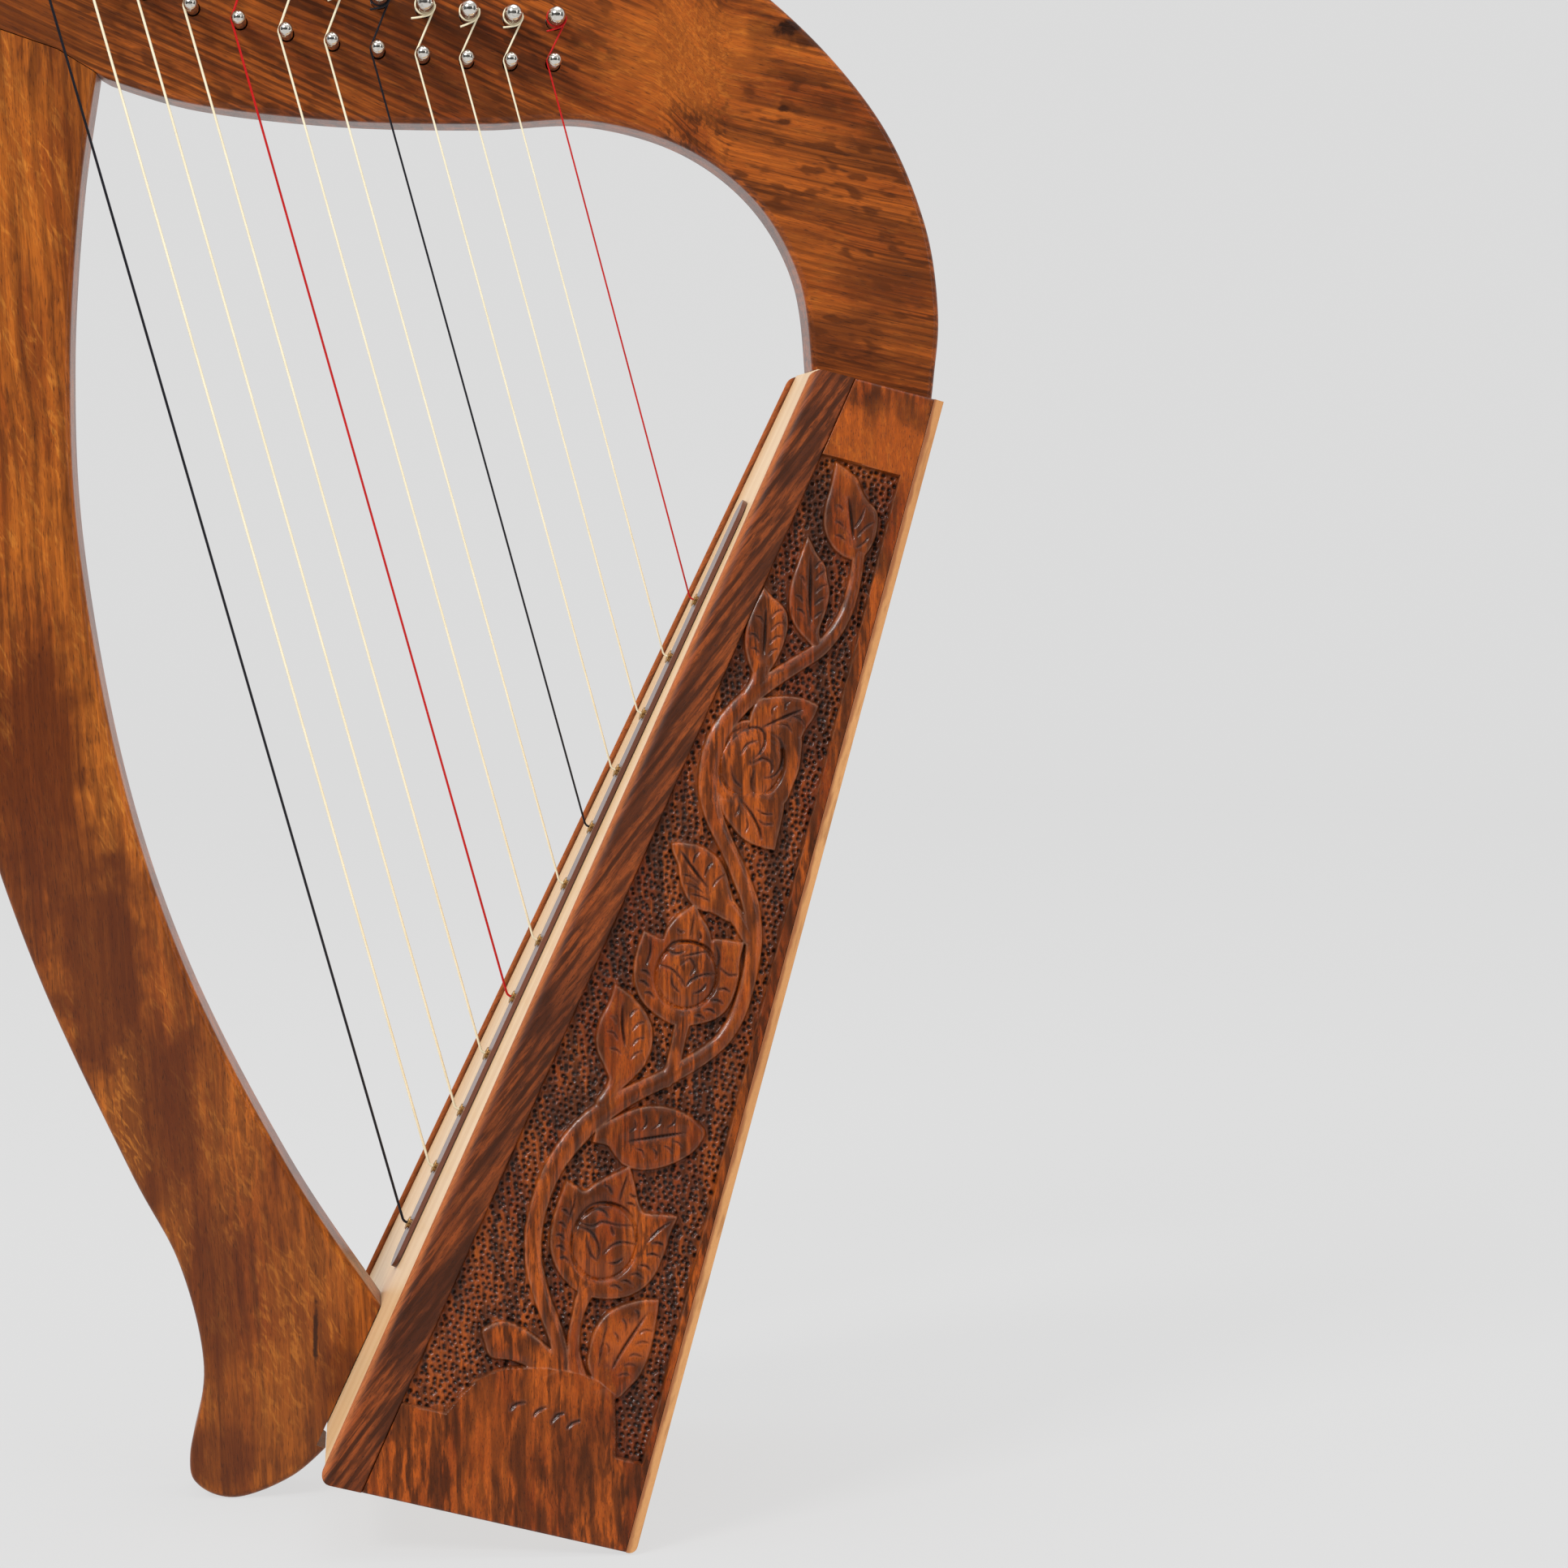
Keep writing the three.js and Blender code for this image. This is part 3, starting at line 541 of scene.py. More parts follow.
PANEL_ZONES = [
    ((122, 334, 6, 17), "dark", 0.7), ((143, 334, 32, 17), "light", 0.55),
    ((143, 334, 32, 16), "glow", 0.6), ((126, 350, 8, 5.2), "dark", 0.6),
    ((138, 348, 5.2, 5.2), "dark", 0.55), ((148, 345, 5.2, 6), "dark", 0.5),
    ((156, 342, 7, 5.2), "dark", 0.5), ((46, 28, 13, 20), "shade", 0.5),
    ((80, 18, 8, 22), "light", 0.35), ((18, 40, 7, 16), "light", 0.3),
    ((100, 20, 9, 14), "shade", 0.4), ((62, 64, 12, 8), "light", 0.8),
    ((92, 142, 5, 44), "shade", 0.4), ((107, 205, 5, 44), "shade", 0.4),
    ((124, 262, 5, 40), "shade", 0.35),
]
NECK_LOOK = {"swirl": 6, "bands": 0.55, "lines": 0.75, "flecks": 0.75, "curl": 0.35, "curl_turn": 4,
             "band": (150, 5.5), "line": (80, 1.3), "fleck": (6.5, 2.4), "zones": NECK_ZONES,
             "rings": (2.5, 0.8, (-10, 70)), "coat": 0.2, "satin": 0.28}
PILLAR_LOOK = {"swirl": 9, "bands": 0.45, "lines": 0.45, "flecks": 0.35, "curl": 0.75, "curl_turn": 24,
               "band": (150, 8), "line": (90, 1.5), "fleck": (8, 1.5), "zones": PILLAR_ZONES,
               "rings": (4.6, 0.35, None), "coat": 0.2, "satin": 0.28}
PANEL_LOOK = {"swirl": 3, "bands": 0.8, "lines": 0.8, "flecks": 0.55, "curl": 0.35, "curl_turn": 0,
              "band": (90, 4.2), "line": (56, 1.5), "fleck": (7, 1.4), "zones": PANEL_ZONES,
              "rings": (3.6, 0.4, None), "coat": 0.25, "satin": 0.3}
TOP_LOOK = {**PANEL_LOOK, "zones": []}
RAIL_LOOK = {"swirl": 1.5, "bands": 0.75, "lines": 0.75, "flecks": 0.25, "curl": 0.3, "curl_turn": 0,
             "band": (130, 4), "line": (140, 1.1), "fleck": (8, 1.2), "zones": [],
             "rings": (2.9, 0.85, None), "coat": 0.0, "satin": 0.45}


STAIN_WANDER = 0.4


def pale_wood(name, tones, angle, line_width, coat=0.3, shift=0.0, stain=None):
    """Straight-grained pale wood with fine growth lines; a stain may tint one end of x."""
    light, mid, line = tones
    shader = Shader(name)
    space = grain_space(shader, {"angle": angle, "shift": shift}, 1.2)
    broad = shader.stretched(space, 160, 18, 2.0, 0.5, 0.0, shift)
    lines = shader.stretched(space, 190, line_width, 2.0, 0.55, 0.1, shift + 2)
    fibre = shader.stretched(space, 7, 0.22, 2.0, 0.6, 0.0, shift + 4)
    colour = shader.mix(shader.between(broad, 0.35, 0.65), mid, light)
    colour = shader.mix(shader.between(lines, 0.5, 0.72, 0.0, 0.5), colour, line)
    colour = shader.mix(shader.between(fibre, 0.3, 0.75, 0.0, 0.22), colour, line)
    if stain:
        tone, turn, low, high = stain
        across = shader.mapped(shader.coordinates(), turn=(0, turn, 0))
        blotch = shader.stretched(space, 14, 2.5, 3.0, 0.6, 0.0, shift + 6)
        uneven = shader.between(blotch, 0.3, 0.7, -STAIN_WANDER * MM, STAIN_WANDER * MM)
        uneven = shader.plus(shader.x_of(across), uneven)
        colour = shader.mix(shader.between(uneven, low * MM, high * MM, 0.85, 0), colour, tone)
    normal = shader.bump(shader.plus(fibre, lines), 0.03, 0.4)
    roughness = shader.between(fibre, 0.2, 0.8, 0.42, 0.55)
    return shader.finish(colour, roughness, normal, coat_weight=coat, coat_roughness=0.2)


SPRUCE_TONES = (srgb(244, 210, 164), srgb(234, 194, 142), srgb(206, 158, 104))
BIRCH_TONES = (srgb(206, 148, 90), srgb(188, 128, 72), srgb(146, 92, 46))
STRIP_TONES = (srgb(112, 62, 44), srgb(86, 44, 30), srgb(50, 26, 18))
INNER_TONES = (srgb(214, 172, 116), srgb(192, 146, 92), srgb(150, 104, 60))


# ---- Metal and nylon -----------------------------------------------------------------------


def metal(name, tone, dull, roughness):
    """Plated metal with faint turning marks and a little tarnish."""
    shader = Shader(name)
    place = shader.coordinates()
    tarnish = shader.noise(place, 900.0, 3.0)
    marks = shader.noise(shader.mapped(place, scale=(300, 9000, 300)), 1.0, 2.0)
    colour = shader.mix(shader.between(tarnish, 0.45, 0.75, 0.0, 0.5), tone, dull)
    rough = shader.plus(shader.between(marks, 0.3, 0.7, roughness - 0.03, roughness + 0.05),
                        shader.between(tarnish, 0.5, 0.8, 0.0, 0.08))
    normal = shader.bump(marks, 0.006, 0.3)
    return shader.finish(colour, rough, normal, metallic=1.0)


def nylon(name, tone, shade):
    """Smooth nylon, a little uneven in tone along its length."""
    shader = Shader(name)
    place = shader.coordinates()
    tint = shader.noise(place, 130.0, 3.0)
    fine = shader.noise(place, 5200.0, 2.0)
    colour = shader.mix(shader.between(tint, 0.35, 0.7, 0.0, 0.7), tone, shade)
    normal = shader.bump(fine, 0.004, 0.3)
    roughness = shader.between(fine, 0.3, 0.7, 0.26, 0.36)
    return shader.finish(colour, roughness, normal, ior=1.53, specular_ior_level=0.25)


# ---- Neck and pillar -----------------------------------------------------------------------

# The outlines repeat the design's own points, in millimetres.
JOINT = [(-176, 475), (-113.4, 454.6), (-100.3, 446.8), (-84, 437.1)]
NECK_UNDER = [
    (-100.8, 446.5), (-71.5, 438.5), (-27, 434.2), (18, 434), (50, 435.6), (80, 428),
    (103, 411.5), (117, 388), (121.3, 360), (121, 340),
]
NECK_OVER = [
    (157.5, 330), (160.4, 356), (161.6, 378), (156.8, 406), (142.5, 437), (116, 467),
    (83, 490.5), (44, 503.5), (-8, 506.5), (-47, 511.3), (-86, 526.5), (-124, 542.3),
    (-148, 546), (-160.6, 536), (-160.6, 519), (-154.5, 495), (-152.5, 468), (-153.5, 430),
]
NECK_END = (-103.5, 430)
PILLAR_INNER = [
    (-100.5, 455), (-101.6, 446.8), (-107, 408), (-110, 356), (-107.4, 300), (-94.7, 229),
    (-74.6, 167.7), (-43.5, 106), (-15, 62.3), (-8, 52),
]
PILLAR_SOLE = (-23, 18)
PILLAR_OUTER = [
    (-29.2, 17.8), (-42.2, 6.5), (-59.6, 0), (-71.6, 4), (-74.4, 14), (-70, 42), (-77.5, 75),
    (-93.3, 106.1), (-121.3, 168), (-141, 229), (-153.3, 300), (-155.6, 356), (-154.4, 415),
    (-152.5, 468),
]
PILLAR_END = (-153, 490)
TENON = [(-31, 347), (-13, 347), (-13, 372), (-31, 372)]
TONGUE = [(-142, 440), (-112, 440), (-112, 478), (-142, 487)]
POST = [(-8.2, 8), (18.8, 8), (18.8, 32), (-8.2, 32)]
BOARD_FRONT = 1.5
CURVE_STEPS = 12
ROUND_STEPS = 6
FAR = 90  # past the edge of whatever is cut
THROUGH = 30  # past both faces of the plates
BRIDGE_RADIUS = 2.0
TUNING_RADIUS = 2.5
BORE_CLEARANCE = 0.4
BRIDGE_BORE_END = -0.7


def offset(outline, inset):
    """The outline moved in by the given distance, corner by corner."""
    points = np.array(outline, float)
    before = points - np.roll(points, 1, axis=0)
    after = np.roll(points, -1, axis=0) - points
    before /= np.linalg.norm(before, axis=1)[:, None]
    after /= np.linalg.norm(after, axis=1)[:, None]
    area = np.sum(points[:, 0] * np.roll(points[:, 1], -1) - points[:, 1] * np.roll(points[:, 0], -1))
    turn = 1 if area > 0 else -1
    normal = turn * np.stack([-(before + after)[:, 1], (before + after)[:, 0]], axis=1)
    normal /= np.linalg.norm(normal, axis=1)[:, None]
    edge = turn * np.stack([-before[:, 1], before[:, 0]], axis=1)
    lean = np.maximum(np.sum(normal * edge, axis=1), 0.5)
    return points + normal * (inset / lean)[:, None]


def rounded_plate(name, outline):
    """A plate with quarter-round edges along both faces."""
    rings = []
    for step in range(ROUND_STEPS + 1):
        angle = math.pi / 2 * (1 - step / ROUND_STEPS)
        flat = offset(outline, PLATE_ROUND * (1 - math.cos(angle)))
        height = PLATE_HALF - PLATE_ROUND + PLATE_ROUND * math.sin(angle)
        rings.append([(x, -height, z) for x, z in flat])
    rings += [[(x, -y, z) for x, y, z in ring] for ring in reversed(rings)]
    size = len(rings), len(outline)
    points = [point for ring in rings for point in ring]
    return outward(mesh_piece(name, points, end_caps(*size) + ring_walls(*size)))


def beside_joint(direction):
    """The region above (+1) or below (-1) the joint of neck and pillar."""
    edge = [(x, z - direction * GAP / 2) for x, z in JOINT]
    far = 600 if direction > 0 else 380
    outline = edge + [(edge[-1][0], far), (edge[0][0], far)]
    return prism("beside", outline, -THROUGH, THROUGH, in_plate)


def pin_centre(kind, index):
    low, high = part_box(f"{kind}_{index + 1:02d}")
    return (low.x + high.x) / 2 / MM, (low.z + high.z) / 2 / MM


def pin_holes():
    """Bores for both rows of pins, wider than the pins by the running clearance."""
    bores = []
    for index in range(STRINGS):
        x, z = pin_centre("bridge_pin", index)
        round_hole = circle(x, z, BRIDGE_RADIUS + BORE_CLEARANCE, 32)
        bores.append(prism("bore", round_hole, -THROUGH, BRIDGE_BORE_END, in_plate))
        x, z = pin_centre("tuning_pin", index)
        round_hole = circle(x, z, TUNING_RADIUS + BORE_CLEARANCE, 32)
        bores.append(prism("bore", round_hole, -THROUGH, THROUGH, in_plate))
    return joined("bores", bores)


def neck_piece():
    outline = spline(NECK_UNDER, CURVE_STEPS) + spline(NECK_OVER, CURVE_STEPS) + [NECK_END]
    neck = rounded_plate("neck_finish", outline)
    slot = [(-142.3, 440), (-111.7, 440), (-111.7, 478.3), (-142.3, 487.3)]
    corners = [(-FAR, 302), (40, 302), (40, BOX_LENGTH + 40 * END_SLOPE + GAP),
               (-FAR, BOX_LENGTH - FAR * END_SLOPE + GAP)]
    under = [box_to_world(x, 0, z)[::2] for x, z in corners]
    tenon = [box_to_world(x, 0, z)[::2] for x, z in TENON]
    boolean(neck, beside_joint(-1), "DIFFERENCE")
    boolean(neck, prism("slot", slot, -4.3, 4.3, in_plate), "DIFFERENCE")
    boolean(neck, prism("under", under, -THROUGH, THROUGH, in_plate), "DIFFERENCE")
    boolean(neck, prism("tenon", tenon, -5, 5, in_plate), "UNION")
    boolean(neck, pin_holes(), "DIFFERENCE")
    return weighted(smooth(neck, 30))


def pillar_piece():
    outline = spline(PILLAR_INNER, CURVE_STEPS) + [PILLAR_SOLE]
    outline += spline(PILLAR_OUTER, CURVE_STEPS) + [PILLAR_END]
    pillar = rounded_plate("pillar_finish", outline)
    corners = [(BOARD_FRONT, -10), (FAR, -10), (FAR, FAR), (BOARD_FRONT, FAR)]
    box = [front_to_world(x, 0, z)[::2] for x, z in corners]
    post = [front_to_world(x, 0, z)[::2] for x, z in POST]
    boolean(pillar, beside_joint(1), "DIFFERENCE")
    boolean(pillar, prism("box", box, -THROUGH, THROUGH, in_plate), "DIFFERENCE")
    boolean(pillar, prism("post", post, -6, 6, in_plate), "UNION")
    boolean(pillar, prism("tongue", TONGUE, -4, 4, in_plate), "UNION")
    return weighted(smooth(pillar, 30))


# ---- Carving on the side panels ------------------------------------------------------------
# A point is "distance height", in millimetres: in front of the back face, and up it. A stem's
# points also give its half width. Leaves and cups are closed outlines; stems and cuts are open
# lines.


def trace(text):
    """Points in the box frame, from places parted by commas."""
    places = [place.split() for place in text.split(",") if place.strip()]
    return [(-float(forward), *map(float, rest)) for forward, *rest in places]


def traces(text):
    """Several lines, parted by semicolons."""
    return [trace(part) for part in text.split(";") if part.strip()]


def leaf(outline, vein, cuts):
    return {"outline": trace(outline), "vein": trace(vein), "cuts": traces(cuts)}


def cup(outline, bud, cuts):
    """The bud is a round (x, z, half width, half height) in the box frame."""
    return {"outline": trace(outline), "bud": bud, "cuts": traces(cuts)}


STEMS = traces("""
    13.2 309 1.7, 12.2 301 1.7, 12.2 292 1.8, 13.8 284.5 1.9, 17.2 277.5 2.1, 22 272 2.2, 27.5 266 2.3,
    32.5 260 2.5, 37 253 2.6, 40.2 245 2.8, 41 236 2.9, 39.2 227 2.9, 35.5 219.5 2.6, 30.3 213 2.3,
    26 208 2.3, 22 203 2.4, 18.3 198 2.4, 15.6 192.5 2.4, 13.4 186 2.3, 12.2 178 2.1, 11.9 170 2.1,
    12.6 162 2.1, 15 154.8 2.1, 19 149 2.2, 24 143.6 2.3, 30 138 2.4, 36 133 2.5, 42 127.2 2.8,
    47.5 120.5 3.1, 51.5 113 3, 54.4 105 2.7, 55.7 96 2.5, 55.6 87 2.4, 54 79 2.4, 51 72 2.4, 47 65.5 2.3,
    43 60 2.3, 39.6 55 2.2, 37 49 2.4, 36 42 3;
    33 268 2.4, 33.2 262 2.3, 35 256 2.4;
    24 194 2.5, 19.5 190.8 2.1, 15 186.6 2.2;
    28.2 158 2.2, 27.9 150 1.9, 27.5 143 2, 28.6 138.5 2.2;
    43.4 139 2.6, 43.2 133 2, 45 127 2.2;
    35.2 72 2.4, 35.8 65 1.6, 35.2 58 1.6, 33.8 52.5 1.8, 31.5 47 2.6, 28 41 3.6;
""")

LEAVES = [
    leaf(
        """27.4 334.4, 27 327, 27 320, 25.6 314, 22.3 309.6, 18.4 307.4, 14.6 307, 11.6 309, 10 313.5,
        9.9 318.5, 11.4 323.2, 15 325.6, 17.6 328.2, 20.4 331.6""",
        "20.9 325.4, 18.4 319, 16 313",
        """24.2 321.6, 22.6 321.6, 21.4 320.6; 23.2 316.8, 21.4 316.7, 19.8 315.6; 22 312.6, 20.2 312.8,
        18.2 311.7; 17 316, 15.6 319.5, 15.2 323.5; 15.2 314, 13.4 317.6, 11.2 319.8; 14.6 310.6,
        12.8 312.6, 11.6 315""",
    ),
    leaf(
        """29.9 309.7, 30.5 303, 31 297, 30.6 291, 29.2 286.3, 26.4 282.3, 22.6 279.6, 19.2 277.8,
        17.6 279.2, 19.1 283, 18.7 289, 19 295, 21.2 299.6, 22.6 302.6, 25.6 305""",
        "27.6 304.6, 25.6 297, 23.8 290, 22 284.6",
        """29.4 297.6, 28 297.2, 26.8 295.8; 29 291.4, 27.4 291.2, 26 290; 27.6 287.2, 26 287.4,
        24.4 286.2; 25.4 301, 24.6 303, 23.4 304; 24.4 297.6, 23 300.2, 21.6 301.2; 23.4 293.6,
        21.8 296.2, 20.2 297.2; 22.6 290, 21 292.4, 19.6 293.2; 21.8 286, 20.4 288, 19.4 288.8""",
    ),
    leaf(
        """38.9 290.8, 40.2 285, 40.8 279, 40.2 273.5, 38.2 269, 35.8 265.4, 33 263, 31 266, 29.5 270.6,
        28.7 275.6, 28.8 281, 30.4 285.4, 33.4 287.6, 36.4 289""",
        "36.6 285, 35 278, 33.6 271",
        """39.4 281.8, 37.6 281.8, 36 280.4; 39.8 276, 37.8 276.2, 35.8 274.6; 38 272, 36.4 272.1, 35 271;
        34.4 282.6, 33.2 285, 31.2 286; 33.6 278.6, 31.8 281.6, 29.8 282; 33 274.6, 31.4 277.4, 29.6 278;
        32.4 271, 31.2 273.2, 29.8 274""",
    ),
    leaf(
        """31.9 256.5, 28 259, 23 260.7, 18 261.3, 13.2 260.5, 13.7 256.5, 15.2 252.5, 16.4 248, 20 245,
        27 246, 32 249""",
        "28 249.6, 22.4 254.4, 17.4 258.2",
        """24.4 251.4, 21 252.2, 18.8 250.4; 20.6 255.2, 17.6 255.2, 15.6 253.6; 26 253.6, 26.6 255.6,
        25.4 257.4; 22.6 256.6, 23 258.2, 22 259.4""",
    ),
    leaf(
        """35 225, 32.6 220.9, 29 217.9, 25 215.4, 20 214.3, 14.7 214.4, 14.9 220, 15.3 227, 16.6 232,
        22 230, 28 229""",
        "29.8 227.2, 24.4 223.2, 21 219.4, 19.4 216.2",
        """29 224.4, 28.8 222.6, 29.4 221; 25.6 221.6, 24.6 219.4, 25 217; 23.6 225, 20.8 224.2,
        17.8 224.9; 22 222, 19.8 221.2, 17 222""",
    ),
    leaf(
        """45.6 207.9, 42.5 208.8, 38 209.4, 33.4 208.4, 29.6 206.2, 27 203, 25 199.6, 23.2 196.6,
        21.4 193.6, 20 190, 23.6 190, 28 191, 32.4 191, 35.8 192.6, 38.6 195.6, 40.6 199, 42.2 202.6,
        44.6 205.6""",
        "42.6 206.6, 37 202, 31.4 197.9",
        """40 199.8, 37.4 199.8, 34.6 198.4; 38.6 197.4, 35.4 197.2, 32 195.8; 36 194.8, 33 194.8,
        29.6 194.2; 37.8 203.6, 37.8 206, 36.8 208; 33.4 200.6, 33.2 203.6, 32 206; 30.2 198.6, 29.4 201,
        27.8 203""",
    ),
    leaf(
        """51.1 162.1, 51.3 157, 52.5 151.5, 52.5 146.5, 51.1 142, 48 138.2, 45.4 135, 42 131, 40.4 133.6,
        38 137.4, 36.1 141.5, 35.5 146.5, 36.5 151.5, 39 155.4, 43 158.7, 47.4 160.9""",
        "47.4 157.6, 45.8 151, 43.2 145",
        """50.4 152.7, 48.8 152.6, 47.6 151; 50 148, 47.8 148.2, 45.8 146.4; 47.8 143.3, 45.8 143.6,
        43.8 142.6; 44.4 154, 43.6 156, 42.2 157.2; 42.6 150, 41.2 152.8, 39.4 153.8; 41.4 145.6,
        40.2 148.2, 38 149.2; 40.8 141.6, 39.6 144, 37.6 145.2""",
    ),
    leaf(
        """44.6 119.6, 41 123, 37 126.4, 32 129.3, 27 130.5, 21 130.3, 17 129.1, 13.2 126.9, 13.1 124,
        14.6 120.4, 17.2 117.3, 21 114.3, 25.4 111.8, 30 110.5, 34.4 110.9, 37.6 113, 40.6 115.2, 45 115""",
        "35 117.8, 26.8 121.3, 18.4 124.9",
        """32.2 121.6, 30.8 124.4, 31.8 127.4; 29 123, 27 125.4, 27.2 128.2; 35.2 120.6, 33.8 122.6,
        34.8 125; 24.4 125, 22.8 126.6, 22.6 128.6; 32 116.4, 29.8 116.2, 28.8 114.2; 27 117.8,
        25.6 116.8, 25.2 114.6; 24 119.4, 22 119, 20.6 117.6; 21.8 121.6, 19.8 121.4, 18 120.2""",
    ),
    leaf(
        """13.1 74.4, 17 73.4, 21 71.6, 24.5 69.2, 27.5 66.2, 29.4 61, 29.6 55.5, 28.8 50.8, 26.6 47.4,
        23 43.6, 18 43, 15 47.4, 13 51.2, 12 56, 11.8 62, 12.4 68.5""",
        "15.4 70.2, 18 63, 20 57, 21.5 51",
        """16.4 63.2, 15 64.8, 12.4 65.3; 16.6 60, 14.8 61.3, 12.6 61.4; 17.6 56, 16 57.2, 13.2 57;
        18.4 53, 16.6 54, 14.6 54; 19.4 49.6, 17.4 50.8, 15.6 50.8; 19.6 70, 18 69.2, 17.6 67; 22.5 66.5,
        20.9 65.2, 20.3 62.6; 23.8 62, 22.4 61, 21.8 59.4; 25.4 58.4, 24 57, 23.6 55; 26.6 64, 26.2 57,
        25.6 50""",
    ),
    leaf(
        """62.3 52.6, 59 55.6, 55.4 56.7, 50 55.7, 45 53.9, 40.4 51.6, 36 50, 36 42, 43 43, 46.8 45.6,
        52 46.2, 57.7 45.6, 60.6 49.2""",
        "",
        "",
    ),
]

CUPS = [
    cup(
        """37 247, 31.9 250.5, 24 251, 16.5 250.5, 14.6 245, 14 240, 14.5 235, 15.5 229, 20 226, 28 225,
        36 226, 39.5 236""",
        (-28.5, 238.4, 9.9, 11.2),
        """36.4 243, 33.6 247, 29.8 249, 27 247.8, 26.2 244.2, 27.4 240.8, 29.6 238; 32.4 239.6,
        31.4 243.2, 28.6 245.2; 25.2 248.6, 21.8 247.2, 19.8 243.2, 19.5 239, 21 236, 24.2 234.5;
        29.4 237.6, 27.6 238.6, 25.6 240.5, 23 240, 21.8 238, 22.4 236; 27.2 236.6, 27 232.4, 25.6 229.2;
        34.6 236, 32.6 232, 29.4 230""",
    ),
    cup(
        """46.9 180, 42.6 179.2, 40.4 179, 40 183, 38 187.4, 34.1 192, 31 188.6, 28.2 186, 26 182.4,
        24.6 183.6, 16.4 184.6, 16.3 179, 15.4 174.6, 15.2 170, 15.9 165, 18 161.2, 21.4 158.6, 25 156.8,
        29 155.3, 34 156, 38.8 157.8, 42.6 160.4, 45.4 164.4, 46.9 169, 47.3 174.6""",
        (-30.8, 170.7, 9.4, 10.2),
        """39.8 171.5, 36 171.4, 32.6 169.6, 30.3 167; 30.3 167, 28.8 170, 25.4 172.4, 22 173.3;
        35.2 169.4, 34 166.6, 31.2 165; 27.4 165.8, 25.2 167.4, 24.2 170; 33.6 173.2, 31.2 175.8,
        29 173.6, 30 170.6; 39.2 176.4, 35.6 176.2, 33.2 177.6; 34 175.6, 30.4 177.4, 26.4 179.4;
        39.2 175.4, 37.4 179, 33 180.6, 28 180.6, 24.8 179; 33.6 189.4, 33 185.6, 32.8 182; 37.6 183.6,
        36 182.8, 34.8 183.4; 30.6 184.6, 29.6 183, 30 181.6; 24.6 182, 22.6 178.6, 22.4 175; 44.6 178.6,
        43.4 174.6, 43.6 170; 21.6 175.6, 18.4 174.2, 15.6 175; 45 168.4, 43 168.6, 41.2 167.4;
        44.6 165.2, 42.8 165.4, 40.8 164.2; 42 162.3, 40.2 162.6, 38.4 161.4; 20.4 169, 18.4 169.8,
        16.4 169.2; 21.6 165.2, 19.6 165.9, 17.6 165.2; 23 162, 21 162.6, 19 161.8; 25.4 159.6, 23.4 160,
        21.8 159.2""",
    ),
    cup(
        """49.6 101.6, 50.4 94, 50.3 87, 48.9 81, 46 76.4, 42.4 73.2, 38 71, 33 70.3, 27.6 71.2,
        22.5 73.4, 18.4 77.4, 16.2 82.5, 15.3 89, 15.1 95, 14.2 99.9, 18.5 99.3, 22.8 98.4, 25 98.6,
        27.4 101.6, 29.4 105.6, 32.4 110.5, 36.6 107.1, 41 103.1, 43.6 100, 46 100.6""",
        (-33.8, 87, 9.9, 11.4),
        """43.4 89.6, 39 89.2, 36.2 87, 34.6 84, 34.4 81.4; 33.4 83.2, 31.4 86.6, 28.4 88.4, 24.2 88.6;
        38.6 86, 37 82.8, 34.2 81; 31.2 81.3, 28.6 82, 26.7 84.2; 43.6 91, 38.8 90.6, 36 92.8, 31 93,
        25.4 94.2; 41.6 93.4, 39.8 95.6, 36.6 96, 34.4 94.4; 33.2 92.4, 31.4 89.6; 43.2 92.2, 41 96.2,
        36.6 98.4, 31 98.4, 27 96.2; 32.3 108.2, 32.5 104, 32.6 99.6; 38.6 103.6, 36.6 103, 35.2 101.4;
        30.2 103, 28.8 102.4, 27.8 102.6; 30.6 99.8, 28.8 100.2, 27.4 99.6; 15.4 98.4, 18.8 94.6, 21.4 90;
        46.6 100.4, 45.7 96, 46 90; 49 93, 47.6 93.2, 46.2 92; 49 89, 47.6 89.3, 46.2 88.2; 48.6 85.4,
        47.2 85.8, 45.6 84.8; 47.8 82, 46.2 82.6, 44.6 81.6; 45.6 79, 44.2 79.6, 42.6 78.6; 19.8 90.4,
        17.8 91, 16 90.6; 20.4 86.6, 18.4 87.4, 16.2 87; 22 82.8, 19.8 83.4, 17.8 82.4; 23.6 79.6,
        21.6 80.4, 19 79.4; 26 77, 24 77.6, 21.6 76.6; 28.8 74.8, 26.8 75.4, 24.6 74.6""",
    ),
]

GRASS = traces("""
    48.2 31.5, 47 34, 44 35.4;
    41 31.5, 40 33.8, 37.4 35.8;
    35.2 31, 34 33.8, 31.8 35.3;
    30.2 30.6, 28.8 32.9, 26.5 34.4;
""")

FIELD_TOP = 336.0
FIELD_FLOOR = trace("""7 336, 4.6 26, 13.6 26, 15.4 33, 18.8 44, 24.5 46.6, 31 47.4, 40 46.6, 46.8 45,
    52 43.6, 56.4 41.2, 60.4 37.4, 63.4 32.6, 66.4 26""")
FIELD_FOOT = 25.5
SEAM = RAIL_DEPTH + GAP
PIT_PITCH = 2.0
WALL_RUN = 0.6  # how far a carved wall slopes


def distance_to(route, points):
    """Distance of each point from an open line, and how far along the nearest stretch is."""
    nearest = np.full(len(points), 1e9)
    place = np.zeros(len(points))
    for step in range(len(route) - 1):
        start, end = np.array(route[step][:2]), np.array(route[step + 1][:2])
        run = end - start
        share = np.clip(((points - start) @ run) / (run @ run), 0, 1)
        away = np.linalg.norm(points - start - share[:, None] * run, axis=1)
        closer = away < nearest
        nearest[closer] = away[closer]
        place[closer] = step + share[closer]
    return nearest, place


